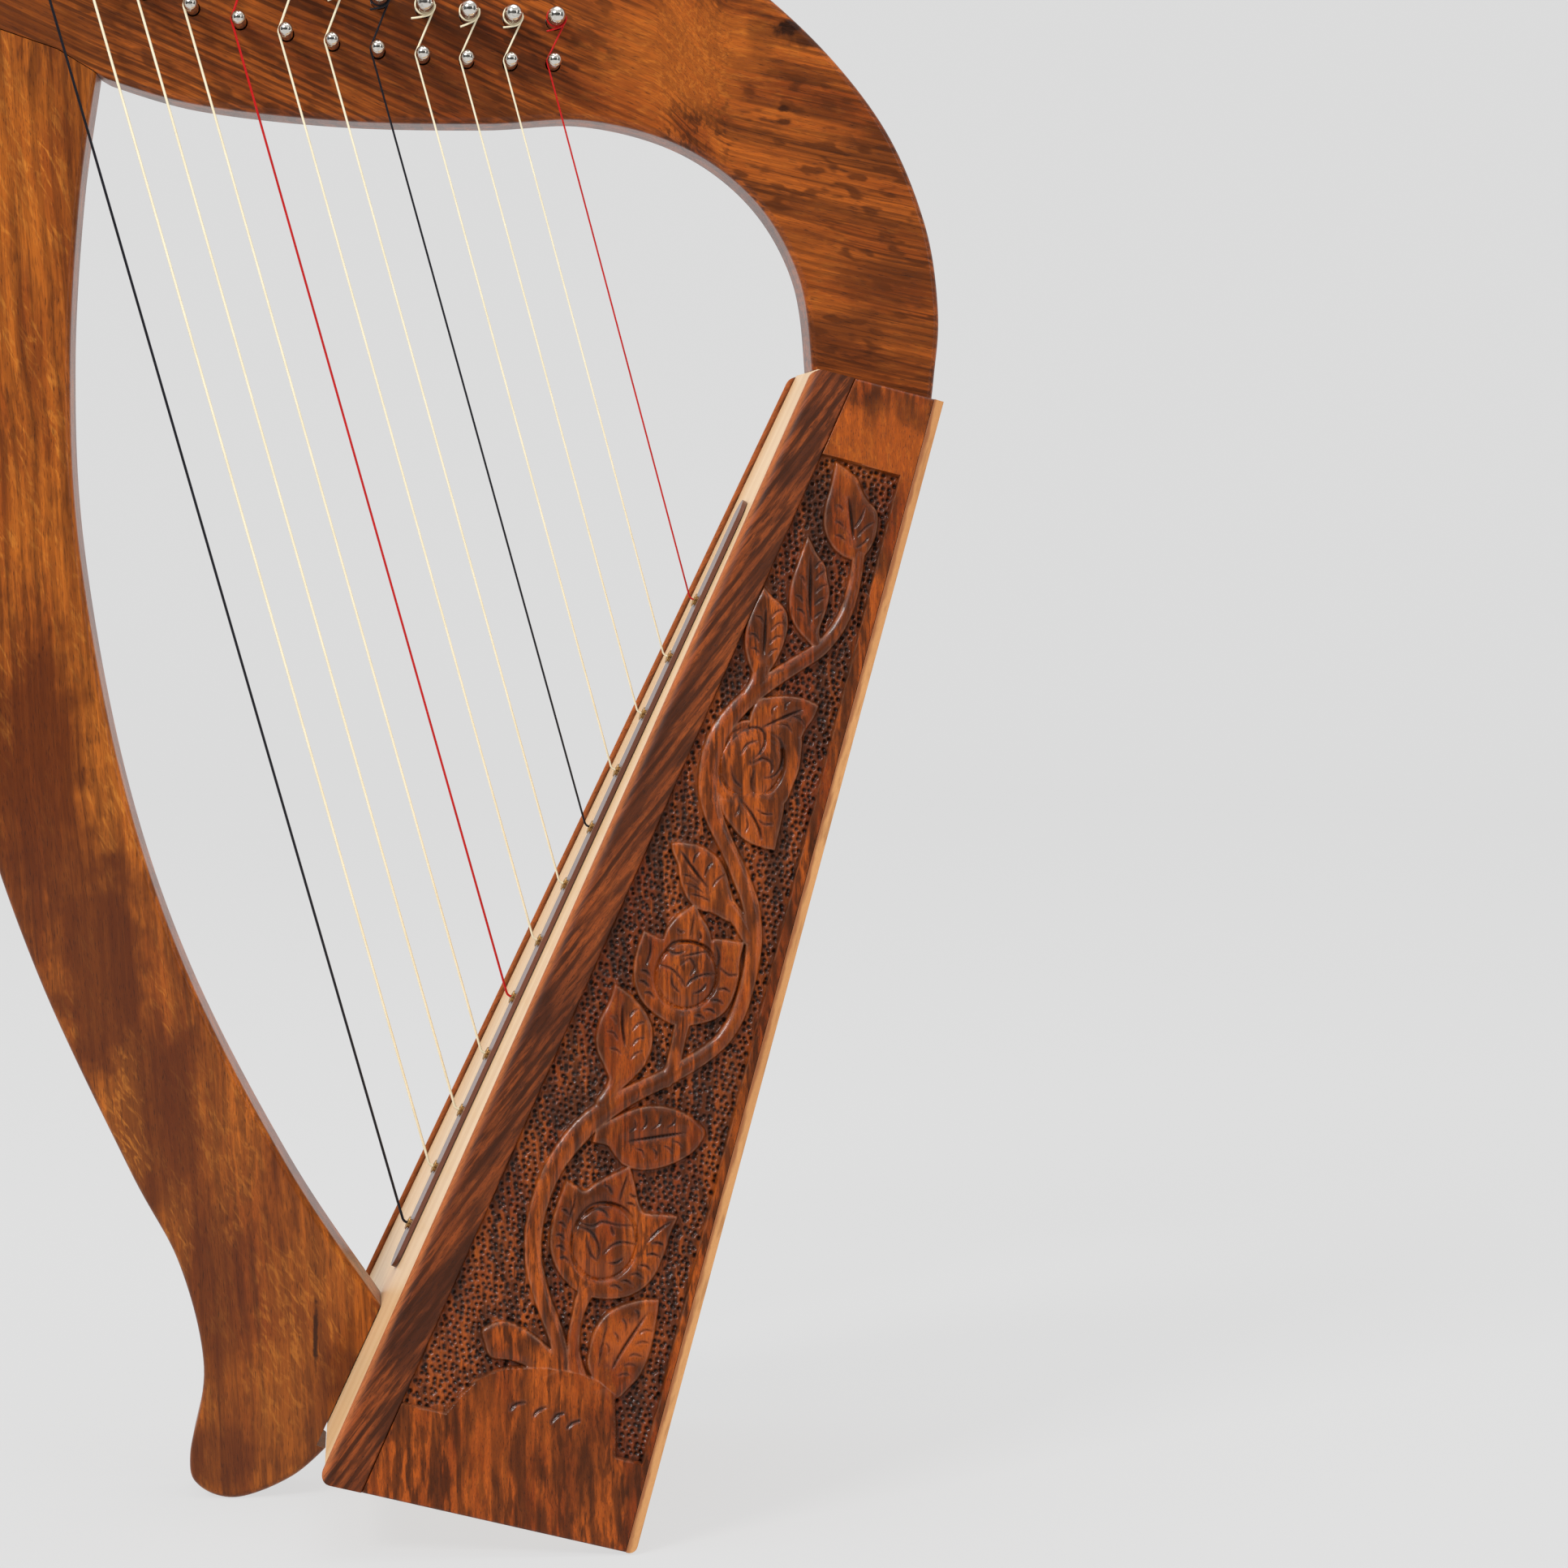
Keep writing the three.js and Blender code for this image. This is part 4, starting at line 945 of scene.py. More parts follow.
def signed_distance(outline, points):
    """Distance from a closed outline, negative inside it."""
    away, _ = distance_to(list(outline) + [outline[0]], points)
    inside = np.zeros(len(points), bool)
    for here in range(len(outline)):
        (x0, y0), (x1, y1) = outline[here], outline[(here + 1) % len(outline)]
        if y0 == y1:
            continue
        crosses = (y0 > points[:, 1]) != (y1 > points[:, 1])
        inside ^= crosses & (points[:, 0] < (x1 - x0) * (points[:, 1] - y0) / (y1 - y0) + x0)
    return np.where(inside, -away, away)


def eased(value):
    value = np.clip(value, 0, 1)
    return value * value * (3 - 2 * value)


def near(points, shape, margin=2.5):
    """Which points lie in or close to a shape's box."""
    shape = np.array([point[:2] for point in shape])
    low, high = shape.min(0) - margin, shape.max(0) + margin
    return np.where(((points > low) & (points < high)).all(1))[0]


def smooth_outline(points, steps=4):
    """A closed outline through the points: smooth, but pointed where it turns sharply."""
    count = len(points)
    points = [np.array(point, float) for point in points]
    tangents = []
    for here in range(count):
        before, after = points[here] - points[here - 1], points[(here + 1) % count] - points[here]
        cosine = before @ after / (np.linalg.norm(before) * np.linalg.norm(after))
        tangents.append(None if cosine < 0.25 else (before + after) / 2)
    outline = []
    for here in range(count):
        start, end = points[here], points[(here + 1) % count]
        leave, arrive = tangents[here], tangents[(here + 1) % count]
        leave = end - start if leave is None else leave
        arrive = end - start if arrive is None else arrive
        outline += cubic_run(start, end, leave, arrive, steps)
    return outline


class Relief:
    """Depth below the panel's face at a set of points, and how far raised shapes are."""

    def __init__(self, points):
        self.points = points
        self.clearance = np.full(len(points), 1e9)
        self.depth = np.full(len(points), CARVED_DEPTH)
        self.cut_depth = np.zeros(len(points))

    def raise_shape(self, chosen, distance, surface):
        """A raised shape whose wall runs down to the ground outside its outline."""
        wall = eased(distance / WALL_RUN)
        depth = surface + (CARVED_DEPTH - surface) * wall
        self.depth[chosen] = np.minimum(self.depth[chosen], depth)
        self.clearance[chosen] = np.minimum(self.clearance[chosen], distance)

    def cut(self, gouge, width, depth):
        """A gouged line that tapers to nothing at both ends."""
        gouge = spline(gouge, 4)
        last = len(gouge) - 1
        chosen = near(self.points, gouge)
        away, place = distance_to(gouge, self.points[chosen])
        taper = np.sqrt(np.clip(4 * place / last * (1 - place / last), 0.05, 1))
        groove = depth * taper * np.exp(-((away / (width * (0.5 + 0.5 * taper))) ** 2))
        self.cut_depth[chosen] = np.maximum(self.cut_depth[chosen], groove)


def carve_stem(relief, stem):
    curve = spline(stem, 5)
    chosen = near(relief.points, curve, 5)
    away, place = distance_to(curve, relief.points[chosen])
    widths = np.interp(place, range(len(curve)), [point[2] for point in curve])
    surface = 0.12 + 0.75 * np.clip(away / widths, 0, 1) ** 2
    relief.raise_shape(chosen, away - widths, surface)


def carve_leaf(relief, shape):
    outline = smooth_outline(shape["outline"])
    chosen = near(relief.points, outline)
    distance = signed_distance(outline, relief.points[chosen])
    surface = 0.25 + 0.6 * np.exp(-np.clip(-distance, 0, 9) / 0.9)
    if shape["vein"]:
        away, _ = distance_to(spline(shape["vein"], 4), relief.points[chosen])
        surface += 0.45 * np.exp(-((away / 2.2) ** 2))
        relief.cut(shape["vein"], 0.42, 0.75)
    relief.raise_shape(chosen, distance, surface)
    for gouge in shape["cuts"]:
        relief.cut(gouge, 0.34, 0.5)


def carve_cup(relief, shape):
    """A rose: a leafy cup that falls towards the round bud standing in it."""
    outline = smooth_outline(shape["outline"])
    chosen = near(relief.points, outline)
    points = relief.points[chosen]
    distance = signed_distance(outline, points)
    x, z, half_width, half_height = shape["bud"]
    reach = np.hypot((points[:, 0] - x) / half_width, (points[:, 1] - z) / half_height)
    beyond = (reach - 1) * (half_width + half_height) / 2
    around = 0.2 + 0.55 * np.exp(-np.clip(-distance, 0, 9) / 0.8)
    around += 0.75 * np.exp(-np.clip(beyond, 0, 20) / 2.0)
    dome = 0.15 + 1.0 * np.clip(reach, 0, 1) ** 3
    surface = np.where(reach < 1, dome, around)
    surface += 0.55 * np.exp(-((beyond / 0.55) ** 2))
    relief.raise_shape(chosen, distance, surface)
    for gouge in shape["cuts"]:
        relief.cut(gouge, 0.42, 0.62)


def field_outline():
    return [(behind_front(SEAM - 2, FIELD_TOP), FIELD_TOP), *FIELD_FLOOR,
            (behind_front(SEAM - 2, FIELD_FOOT), FIELD_FOOT)]


def pit_places(clearance_at):
    """Punched dots in wavering rows over the ground, clear of the raised shapes."""
    draw = random.Random(SEED)
    places = []
    height, row = FIELD_FOOT + 1, 0
    while height < FIELD_TOP - 0.8:
        x = behind_front(SEAM, height) + 1.0 + (row % 2) * PIT_PITCH / 2
        while x < -5:
            places.append((x + draw.uniform(-0.5, 0.5), height + draw.uniform(-0.5, 0.5)))
            x += PIT_PITCH * draw.uniform(0.88, 1.16)
        height += PIT_PITCH * 0.86
        row += 1
    places = np.array(places)
    return places[clearance_at(places) > 0.62]


def free_ground(places):
    """How far each place is from the nearest raised shape or field edge."""
    clearance = -signed_distance(field_outline(), places)
    for stem in STEMS:
        curve = spline(stem, 3)
        away, place = distance_to(curve, places)
        widths = np.interp(place, range(len(curve)), [point[2] for point in curve])
        clearance = np.minimum(clearance, away - widths)
    for shape in LEAVES + CUPS:
        outline = smooth_outline(shape["outline"], 2)
        clearance = np.minimum(clearance, signed_distance(outline, places))
    return clearance


def punch_pits(relief, ground_share):
    """Sinks the dots and returns how deep inside one each point is."""
    draw = random.Random(SEED + 1)
    places = pit_places(free_ground)
    tree = kdtree.KDTree(len(places))
    for index, (x, z) in enumerate(places):
        tree.insert((x, z, 0), index)
    tree.balance()
    radii = [draw.uniform(0.54, 0.72) for _ in places]
    depths = [draw.uniform(0.65, 1.0) for _ in places]
    pits = np.zeros(len(relief.points))
    for index in np.where(ground_share > 0.5)[0]:
        x, z = relief.points[index]
        _, pit, away = tree.find((x, z, 0))
        if away < 1.6:
            bowl = math.exp(-((away / radii[pit]) ** 2.6))
            rim = 0.10 * math.exp(-(((away - 1.05) / 0.25) ** 2))
            relief.depth[index] += depths[pit] * bowl - rim
            pits[index] = bowl
    return pits


def ripple(points):
    """Faint unevenness of hand-cut surfaces."""
    draw = random.Random(SEED + 2)
    total = np.zeros(len(points))
    for _ in range(14):
        turn, size = draw.uniform(0, 2 * math.pi), draw.uniform(2.2, 7.0)
        along = points[:, 0] * math.cos(turn) + points[:, 1] * math.sin(turn)
        total += np.sin(along * 2 * math.pi / size + draw.uniform(0, 6.3))
    return total / 14


def carved_relief(points):
    """Depth for the whole panel, with masks of painted shade (with some dark stain) in its hollows and of
    painted highlights along its raised rims.
    """
    relief = Relief(points)
    for stem in STEMS:
        carve_stem(relief, stem)
    for shape in LEAVES:
        carve_leaf(relief, shape)
    for shape in CUPS:
        carve_cup(relief, shape)
    inside = -signed_distance(field_outline(), points)
    field = eased(inside / 0.5)
    on_ground = eased(relief.clearance / WALL_RUN)
    ground_share = on_ground * field
    relief.depth += relief.cut_depth * (1 - ground_share)
    relief.depth += ripple(points) * (0.10 + 0.12 * ground_share)
    pits = punch_pits(relief, ground_share)
    relief.depth *= field
    for gouge in GRASS:
        relief.cut(gouge, 0.5, 0.7)
    relief.depth += relief.cut_depth * (1 - field)
    # Painted shade, with some dark stain: pits, gouged lines, the open ground and the feet of raised walls
    # are darkened.
    edge = np.exp(-np.clip(np.minimum(relief.clearance, inside), 0, 9) / 0.55) * ground_share
    hollow = 0.98 * pits + 0.16 * ground_share + 0.6 * edge + 1.5 * np.clip(relief.cut_depth, 0, 0.6)
    # Painted highlight: a pale line along the tops of raised rims and along the field's edge, where light
    # catches the walls.
    lip = np.exp(-(((relief.clearance + 0.12) / 0.22) ** 2)) * field
    lip = np.maximum(lip, 0.8 * np.exp(-(((inside - 0.15) / 0.2) ** 2)) * (inside > 0))
    crest = np.clip(lip - hollow, 0, 1) * (0.65 + 1.2 * ripple(points))
    return relief.depth, np.clip(hollow, 0, 1), np.clip(crest, 0, 1)


# ---- Soundbox ------------------------------------------------------------------------------

END_ROUND = 0.9
RAIL_ROUND = 3.2
LIP_ROUND = 0.25
RAIL_BACK_ROUND = 0.7
RAIL_END_ROUND = 3.4
RAIL_END_STEPS = (0, 0.15, 0.4, 0.8, 1.3, 1.9, 2.6, RAIL_END_ROUND)
FOOT_ROUND = 2.5
SPACING = 0.4
SEAM_ROUND = 0.25
CLOSED_SEAM = 0.08  # what is left of the joint's gap where two glued pieces meet
EDGE_STATIONS = (0.0, 0.11, 0.31, 0.6, 1.0)
MOST_TRIANGLES = 195000


def stations(length, spacing, radius):
    """Places from 0 to length, close together where the edges are rounded."""
    middle = np.linspace(radius, length - radius, max(int(length / spacing), 3))
    ends = np.array(EDGE_STATIONS[:-1]) * radius
    return np.concatenate([ends, middle, length - ends[::-1]])


def rounded_edge(distance, radius):
    """Depth of a quarter-round edge at a distance from the corner."""
    short = np.clip(radius - distance, 0, radius)
    return radius - np.sqrt(radius**2 - short**2)


def panel_grid(spacing):
    """Rows up the panel and columns from the seam to the back, as (x, z) in the box frame."""
    rows = stations(BOX_LENGTH, spacing, END_ROUND)
    back = -BACK_THICK - CLOSED_SEAM
    seam = RAIL_DEPTH + CLOSED_SEAM
    widest = back - behind_front(seam, 0)
    columns = stations(widest, spacing, SEAM_ROUND)
    tan = math.tan(FRONT_SLOPE)
    start = -DEPTH_BOTTOM + seam / math.cos(FRONT_SLOPE)
    front = (start + rows * tan) / (1 - END_SLOPE * tan)
    share = (columns - SEAM_ROUND) / (widest - 2 * SEAM_ROUND)
    run = (back - front - 2 * SEAM_ROUND)[:, None]
    x = (front + SEAM_ROUND)[:, None] + share[None, :] * run
    ends = len(EDGE_STATIONS) - 1
    x[:, :ends] = front[:, None] + columns[None, :ends]
    x[:, -ends:] = back - (widest - columns)[None, -ends:]
    z = rows[:, None] + x * END_SLOPE
    worn = rounded_edge(np.minimum(x - front[:, None], back - x), SEAM_ROUND)
    worn = np.maximum(worn, rounded_edge(np.minimum(rows, BOX_LENGTH - rows)[:, None], END_ROUND))
    return x, z, worn


def side_panel(name, side, grid, depth, masks):
    """A closed slab whose outer face carries the carving."""
    x, z = grid[:2]
    rows, columns = x.shape
    outer = [box_to_world(a, side * (HALF_BOTTOM - TAPER * b - d), b)
             for a, b, d in zip(x.ravel(), z.ravel(), depth)]
    index = np.arange(rows * columns).reshape(rows, columns)
    quads = np.stack([index[:-1, :-1], index[:-1, 1:], index[1:, 1:], index[1:, :-1]], -1).reshape(-1, 4)
    border = [*index[0, :-1], *index[:-1, -1], *index[-1, :0:-1], *index[:0:-1, 0]]
    inner_at = [(x.ravel()[i], z.ravel()[i]) for i in border]
    inner = [box_to_world(a, side * (HALF_BOTTOM - WALL - TAPER * b), b) for a, b in inner_at]
    start = rows * columns
    count = len(border)
    faces = quads.tolist() + [[start + i for i in range(count)]]
    for here in range(count):
        after = (here + 1) % count
        faces.append([int(border[here]), int(border[after]), start + after, start + here])
    panel = outward(mesh_piece(name, outer + inner, faces))
    for label, mask in masks.items():
        layer = panel.data.attributes.new(label, "FLOAT", "POINT")
        layer.data.foreach_set("value", np.concatenate([mask, np.zeros(count)]).astype(np.float32))
    return panel


def thinned(panel):
    """Fewer triangles where the face is flat, so that the mesh stays a handy size."""
    triangles = sum(len(face.vertices) - 2 for face in panel.data.polygons)
    if triangles > MOST_TRIANGLES:
        modifier = panel.modifiers.new("thin", "DECIMATE")
        modifier.ratio = MOST_TRIANGLES / triangles
        applied(panel)
    return panel


def side_panels(material):
    grid = panel_grid(SPACING)
    points = np.stack([grid[0].ravel(), grid[1].ravel()], axis=1)
    depth, hollow, crest = carved_relief(points)
    depth += grid[2].ravel()
    for name, side in (("left_side_panel", -1), ("right_side_panel", 1)):
        panel = side_panel(name + "_finish", side, grid, depth, {"hollow": hollow, "crest": crest})
        weighted(smooth(thinned(panel), 50))
        finished(panel, material, [name])


def quarter(steps):
    """Cosine and sine of a quarter turn's steps, both ends included."""
    turns = [math.pi / 2 * step / steps for step in range(steps + 1)]
    return [(math.cos(turn), math.sin(turn)) for turn in turns]


def rail_section():
    """The rail's section as (depth behind the front, half width), with three rounded corners."""
    lip, inside = HALF_BOTTOM - RAIL_LIP, HALF_BOTTOM - WALL
    section = [(RAIL_ROUND * (1 - sine), HALF_BOTTOM - RAIL_ROUND + RAIL_ROUND * cosine)
               for cosine, sine in quarter(8)]
    section += [(LIP_ROUND - LIP_ROUND * cosine, lip + LIP_ROUND - LIP_ROUND * sine)
                for cosine, sine in quarter(6)]
    section += [(BOARD_LEDGE, lip), (BOARD_LEDGE, inside), (RAIL_DEPTH, inside)]
    section += [(RAIL_DEPTH - RAIL_BACK_ROUND + RAIL_BACK_ROUND * cosine,
                 HALF_BOTTOM - RAIL_BACK_ROUND + RAIL_BACK_ROUND * sine)
                for cosine, sine in quarter(4)]
    return section


def front_rail(name, side):
    """The section run along the box's front edge, its front corners rounded at both ends."""
    cosine, sine = math.cos(FRONT_SLOPE), math.sin(FRONT_SLOPE)
    section = rail_section()
    rings = []
    for top in (False, True):
        for reach in (reversed(RAIL_END_STEPS) if top else RAIL_END_STEPS):
            short = RAIL_END_ROUND - reach
            clip = RAIL_END_ROUND - math.sqrt(RAIL_END_ROUND**2 - short**2)
            ring = []
            for x, half in section:
                deep = max(x, clip)
                level = BOX_LENGTH if top else 0
                end = deep * sine + (-DEPTH_BOTTOM + deep * cosine) * END_SLOPE + level
                along = end / (cosine - sine * END_SLOPE) + (-reach if top else reach)
                ring.append(front_to_world(deep, side * (half - FRONT_TAPER * along), along))
            rings.append(ring)
    size = len(rings), len(section)
    points = [point for ring in rings for point in ring]
    rail = outward(mesh_piece(name, points, end_caps(*size) + ring_walls(*size)))
    return weighted(smooth(rail, 32))


def on_back(a, b, height):
    return box_to_world(height, a, b)


def round_bottom(panel):
    """A wide round on the back's lowest outer edge, where the harp is stood down."""
    lowest = Vector(box_to_world(0, 0, 0)) * MM
    work = bmesh.new()
    work.from_mesh(panel.data)
    edges = [edge for edge in work.edges
             if all(math.hypot(end.co.x - lowest.x, end.co.z - lowest.z) < 0.001 for end in edge.verts)]
    bmesh.ops.bevel(work, geom=edges, offset=FOOT_ROUND * MM, segments=7, profile=0.5, affect="EDGES")
    work.to_mesh(panel.data)
    work.free()


def back_panel():
    outline = [(-HALF_BOTTOM, 0), (HALF_BOTTOM, 0), (HALF_TOP, BOX_LENGTH), (-HALF_TOP, BOX_LENGTH)]
    panel = prism("back_panel_finish", outline, -BACK_THICK, 0, on_back)
    round_bottom(panel)
    for height, radius in SOUND_HOLES:
        boolean(panel, prism("hole", circle(0, height, radius, 96), -9, 5, on_back), "DIFFERENCE")
    return weighted(smooth(bevelled(panel, 1.2, 5), 32))


def soundbox():
    face = BOX_FOOT_X * math.cos(FRONT_LEAN) - DEPTH_BOTTOM * math.cos(FRONT_SLOPE)
    # The rails' front faces get a paler tone: painted light.
    rail_wood = rosewood("rail_rosewood", RAIL_TONES, {"angle": 52, "shift": 4.0}, RAIL_LOOK,
                         front=(-FRONT_LEAN, face + 0.3, face + 2.0))
    for name, side in (("left_front_rail", -1), ("right_front_rail", 1)):
        finished(front_rail(name + "_finish", side), rail_wood, [name])
    foot = BOX_FOOT_X * math.cos(BOX_LEAN)
    stain = (srgb(140, 76, 34), -BOX_LEAN, foot - 2.6, foot - 1.5)
    birch = pale_wood("birch", BIRCH_TONES, 74.3, 1.6, stain=stain)
    finished(back_panel(), birch, ["back_panel"])
    spruce = pale_wood("spruce", SPRUCE_TONES, 65.5, 1.0)
    board = weighted(smooth(bevelled(cad_copy("soundboard"), 0.25, 2), 32))
    finished(board, spruce, ["soundboard"])
    strip = pale_wood("strip_wood", STRIP_TONES, 65.5, 1.4, 0.6)
    rib = weighted(smooth(bevelled(cad_copy("string_rib"), 0.35, 3), 32))
    finished(rib, strip, ["string_rib"])
    inner = pale_wood("inner_wood", INNER_TONES, 65.5, 1.8, 0.05, 3.0)
    for node in ("inner_string_rib", "bottom_block"):
        block = weighted(smooth(bevelled(cad_copy(node), 0.5, 2), 32))
        finished(block, inner, [node])
    top_wood = rosewood("top_rosewood", PANEL_TONES, {"angle": 5, "shift": 8.0}, TOP_LOOK)
    top = weighted(smooth(bevelled(cad_copy("top_block"), 0.5, 2), 32))
    finished(top, top_wood, ["top_block"])


# ---- Strings and hardware ------------------------------------------------------------------

CORD_SIDES = 14
TURNED_SIDES = 48
EYELET_SIDES = 40
BRIDGE_LEVEL = -21.0  # where the strings pass the bridge pins, in front of the neck
TUNING_LEVEL = -21.5  # where they reach the tuning pins
GROOVE_RADIUS = 1.6
BRIDGE_HEAD = (2.2, -28.2, 0.45)  # radius, tip, depth of the hollow behind it
TUNING_HEAD = (2.75, -31.2, 0.5)
FOOT_BEFORE = 2.7  # from an eyelet's middle to where the string bends
KNOT_BEHIND = 14.3
TURNS = 2.6
TURN_PITCH = 1.06  # in string diameters
COIL_GAP = 0.04  # between the pin and the turns on it
CORD_STRETCH = 6.0  # the longest straight stretch of a cord's mesh


def tube(points, radius):
    """Points and faces of a closed round tube along a route."""
    route = np.array(points, float)
    ahead = np.gradient(route, axis=0)
    ahead /= np.linalg.norm(ahead, axis=1)[:, None]
    side = np.cross(ahead[0], (0.3, 0.9, 0.2))
    vertices = []
    for place, direction in zip(route, ahead):
        side = side - direction * (side @ direction)
        side /= np.linalg.norm(side)
        up = np.cross(direction, side)
        for turn in full_circle(CORD_SIDES):
            vertices.append(place + radius * (side * math.cos(turn) + up * math.sin(turn)))
    size = len(route), CORD_SIDES
    return vertices, end_caps(*size) + ring_walls(*size)


def tubes(name, routes, radius):
    """Several closed tubes in one piece."""
    vertices, faces = [], []
    for route in routes:
        more, more_faces = tube(route, radius)
        faces += [[corner + len(vertices) for corner in face] for face in more_faces]
        vertices += more
    return smooth(outward(mesh_piece(name, vertices, faces)), 60)


def lathe(name, profile, x, z):
    """A turned piece on an axis along Y; a profile row is (radius, y, squareness)."""
    vertices = []
    for radius, y, square in profile:
        for corner in range(TURNED_SIDES):
            turn = 2 * math.pi * (corner + 0.5) / TURNED_SIDES
            cosine, sine = math.cos(turn), math.sin(turn)
            flat = 1 / (abs(cosine) ** 9 + abs(sine) ** 9) ** (1 / 9)
            reach = radius * (1 + (flat - 1) * square)
            vertices.append((x + reach * cosine, y, z + reach * sine))
    size = len(profile), TURNED_SIDES
    return smooth(outward(mesh_piece(name, vertices, ring_walls(*size) + end_caps(*size))), 34)


def head(radius, tip, depth):
    """Profile rows of a pin's domed head, from near its tip, and the turned hollow behind it."""
    rows = [(radius * sine, tip + radius * (1 - cosine), 0) for cosine, sine in quarter(9)[1:]]
    for step in range(1, 9):
        share = step / 8
        hollow = depth * math.sin(math.pi * share) ** 1.5
        rows.append((radius - hollow, tip + radius + 2.6 * share, 0))
    return rows


def bridge_pin(index, material):
    profile = head(*BRIDGE_HEAD)
    for step in range(9):
        groove = 0.42 * math.sin(math.pi * step / 8) ** 2
        profile.append((BRIDGE_RADIUS - groove, BRIDGE_LEVEL - 1.2 + 2.4 * step / 8, 0))
    profile += [(BRIDGE_RADIUS, -1.4, 0), (BRIDGE_RADIUS - 0.4, -1.0, 0)]
    x, z = pin_centre("bridge_pin", index)
    name = f"bridge_pin_{index + 1:02d}"
    pin = lathe(name + "_finish", profile, x, z)
    finished(pin, material, [name])


def tuning_pin(index, material):
    profile = head(*TUNING_HEAD)
    profile += [(TUNING_RADIUS, 14.2, 0), (2.3, 14.7, 0), (1.95, 15.6, 0.6), (1.75, 16.6, 1),
                (1.72, 26.4, 1), (1.6, 26.9, 1), (1.3, 27.0, 1)]
    x, z = pin_centre("tuning_pin", index)
    name = f"tuning_pin_{index + 1:02d}"
    pin = lathe(name + "_finish", profile, x, z)
    finished(pin, material, [name], body=name)


def eyelet_centre(index):
    low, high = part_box(f"eyelet_{index + 1:02d}")
    return (low + high) / 2 / MM


def eyelet(index, material):
    """A rolled brass grommet in its hole in the string rib."""
    name = f"eyelet_{index + 1:02d}"
    centre = eyelet_centre(index)
    profile = [(1.0, 2.3), (1.0, -0.1), (1.05, -0.42), (1.25, -0.64), (1.6, -0.7), (1.95, -0.66),
               (2.2, -0.5), (2.25, -0.3), (2.2, -0.2), (1.5, -0.2), (1.5, 2.3)]
    vertices = []
    for radius, deep in profile:
        for turn in full_circle(EYELET_SIDES):
            local = Vector((deep - 0.8, radius * math.cos(turn), radius * math.sin(turn)))
            vertices.append(tuple(centre + Matrix.Rotation(FRONT_LEAN, 3, "Y") @ local))
    walls = ring_walls(len(profile), EYELET_SIDES, closed=True)
    ring = smooth(outward(mesh_piece(name + "_finish", vertices, walls)), 40)
    finished(ring, material, [name])


class StringRun:
    """Where one string goes: knot, eyelet, bridge pin, tuning pin."""

    def __init__(self, index):
        self.index = index
        self.diameter = THICKEST_STRING + (THINNEST_STRING - THICKEST_STRING) * index / (STRINGS - 1)
        into_box = Vector((math.cos(FRONT_LEAN), 0, -math.sin(FRONT_LEAN)))
        self.foot = eyelet_centre(index) - into_box * FOOT_BEFORE
        self.knot = eyelet_centre(index) + into_box * KNOT_BEHIND
        self.bridge = pin_centre("bridge_pin", index)
        self.tuning = pin_centre("tuning_pin", index)
        self.off_bridge = GROOVE_RADIUS + GAP + self.diameter / 2
        self.off_tuning = TUNING_RADIUS + GAP + self.diameter / 2
        across, rise = self.tuning[0] - self.bridge[0], self.tuning[1] - self.bridge[1]
        crossing = math.asin((self.off_bridge + self.off_tuning) / math.hypot(across, rise))
        self.upward = math.atan2(across, rise) + crossing

    def bend(self):
        """A small curve where the string leaves the eyelet."""
        corner = np.array(self.foot)
        start = np.array(self.foot + (self.knot - self.foot).normalized())
        rising = np.array(self.around_bridge()[0]) - corner
        end = corner + rising / np.linalg.norm(rising)
        steps = [step / 6 for step in range(7)]
        return [tuple((1 - t) ** 2 * start + 2 * t * (1 - t) * corner + t * t * end) for t in steps]

    def around_bridge(self):
        points = []
        for step in range(11):
            turn = -STRING_LEAN + (self.upward + STRING_LEAN) * step / 10
            points.append((self.bridge[0] - self.off_bridge * math.cos(turn), BRIDGE_LEVEL,
                           self.bridge[1] + self.off_bridge * math.sin(turn)))
        return points

    def arrival(self):
        return (self.tuning[0] + self.off_tuning * math.cos(self.upward), TUNING_LEVEL,
                self.tuning[1] - self.off_tuning * math.sin(self.upward))

    def knot_loop(self):
        """A small overhand knot behind the inner rib."""
        points = []
        size = 0.75 * self.diameter
        for step in range(33):
            turn = 2 * math.pi * step / 33 * 0.97
            local = Vector(((0.9 * math.sin(3 * turn)) * size + 1.4 * size,
                            (math.sin(turn) + 2 * math.sin(2 * turn)) * size * 0.75,
                            (math.cos(turn) - 2 * math.cos(2 * turn)) * size * 0.75))
            points.append(tuple(self.knot + Matrix.Rotation(FRONT_LEAN, 3, "Y") @ local))
        return points

    def route(self):
        start = tuple(self.knot)
        return [start, *self.bend(), *self.around_bridge(), self.arrival()]


def string_material(number, nylons):
    if number in BLACK_STRINGS:
        return nylons["black"], "string_black"
    if number in RED_STRINGS:
        return nylons["red"], "string_red"
    return nylons["white"], "string_white"


def dense(points):
    """The same route with extra points on its long straight stretches."""
    route = []
    for start, end in zip(points[:-1], points[1:]):
        start, end = np.array(start, float), np.array(end, float)
        steps = max(1, int(np.linalg.norm(end - start) / CORD_STRETCH))
        route += [tuple(start + (end - start) * step / steps) for step in range(steps)]
    return [*route, tuple(points[-1])]


def winding(run):
    """Turns of string on the tuning pin, from where the string arrives towards the pin's head."""
    x, z = run.tuning
    steps = 90
    points = []
    for step in range(steps + 1):
        share = step / steps
        turn = -run.upward + 2 * math.pi * TURNS * share
        lifted = COIL_GAP + (GAP - COIL_GAP) * max(0, 1 - share * 12)
        reach = TUNING_RADIUS + run.diameter / 2 + lifted
        deep = TUNING_LEVEL - run.diameter * TURN_PITCH * TURNS * share
        points.append((x + reach * math.cos(turn), deep, z + reach * math.sin(turn)))
    return points


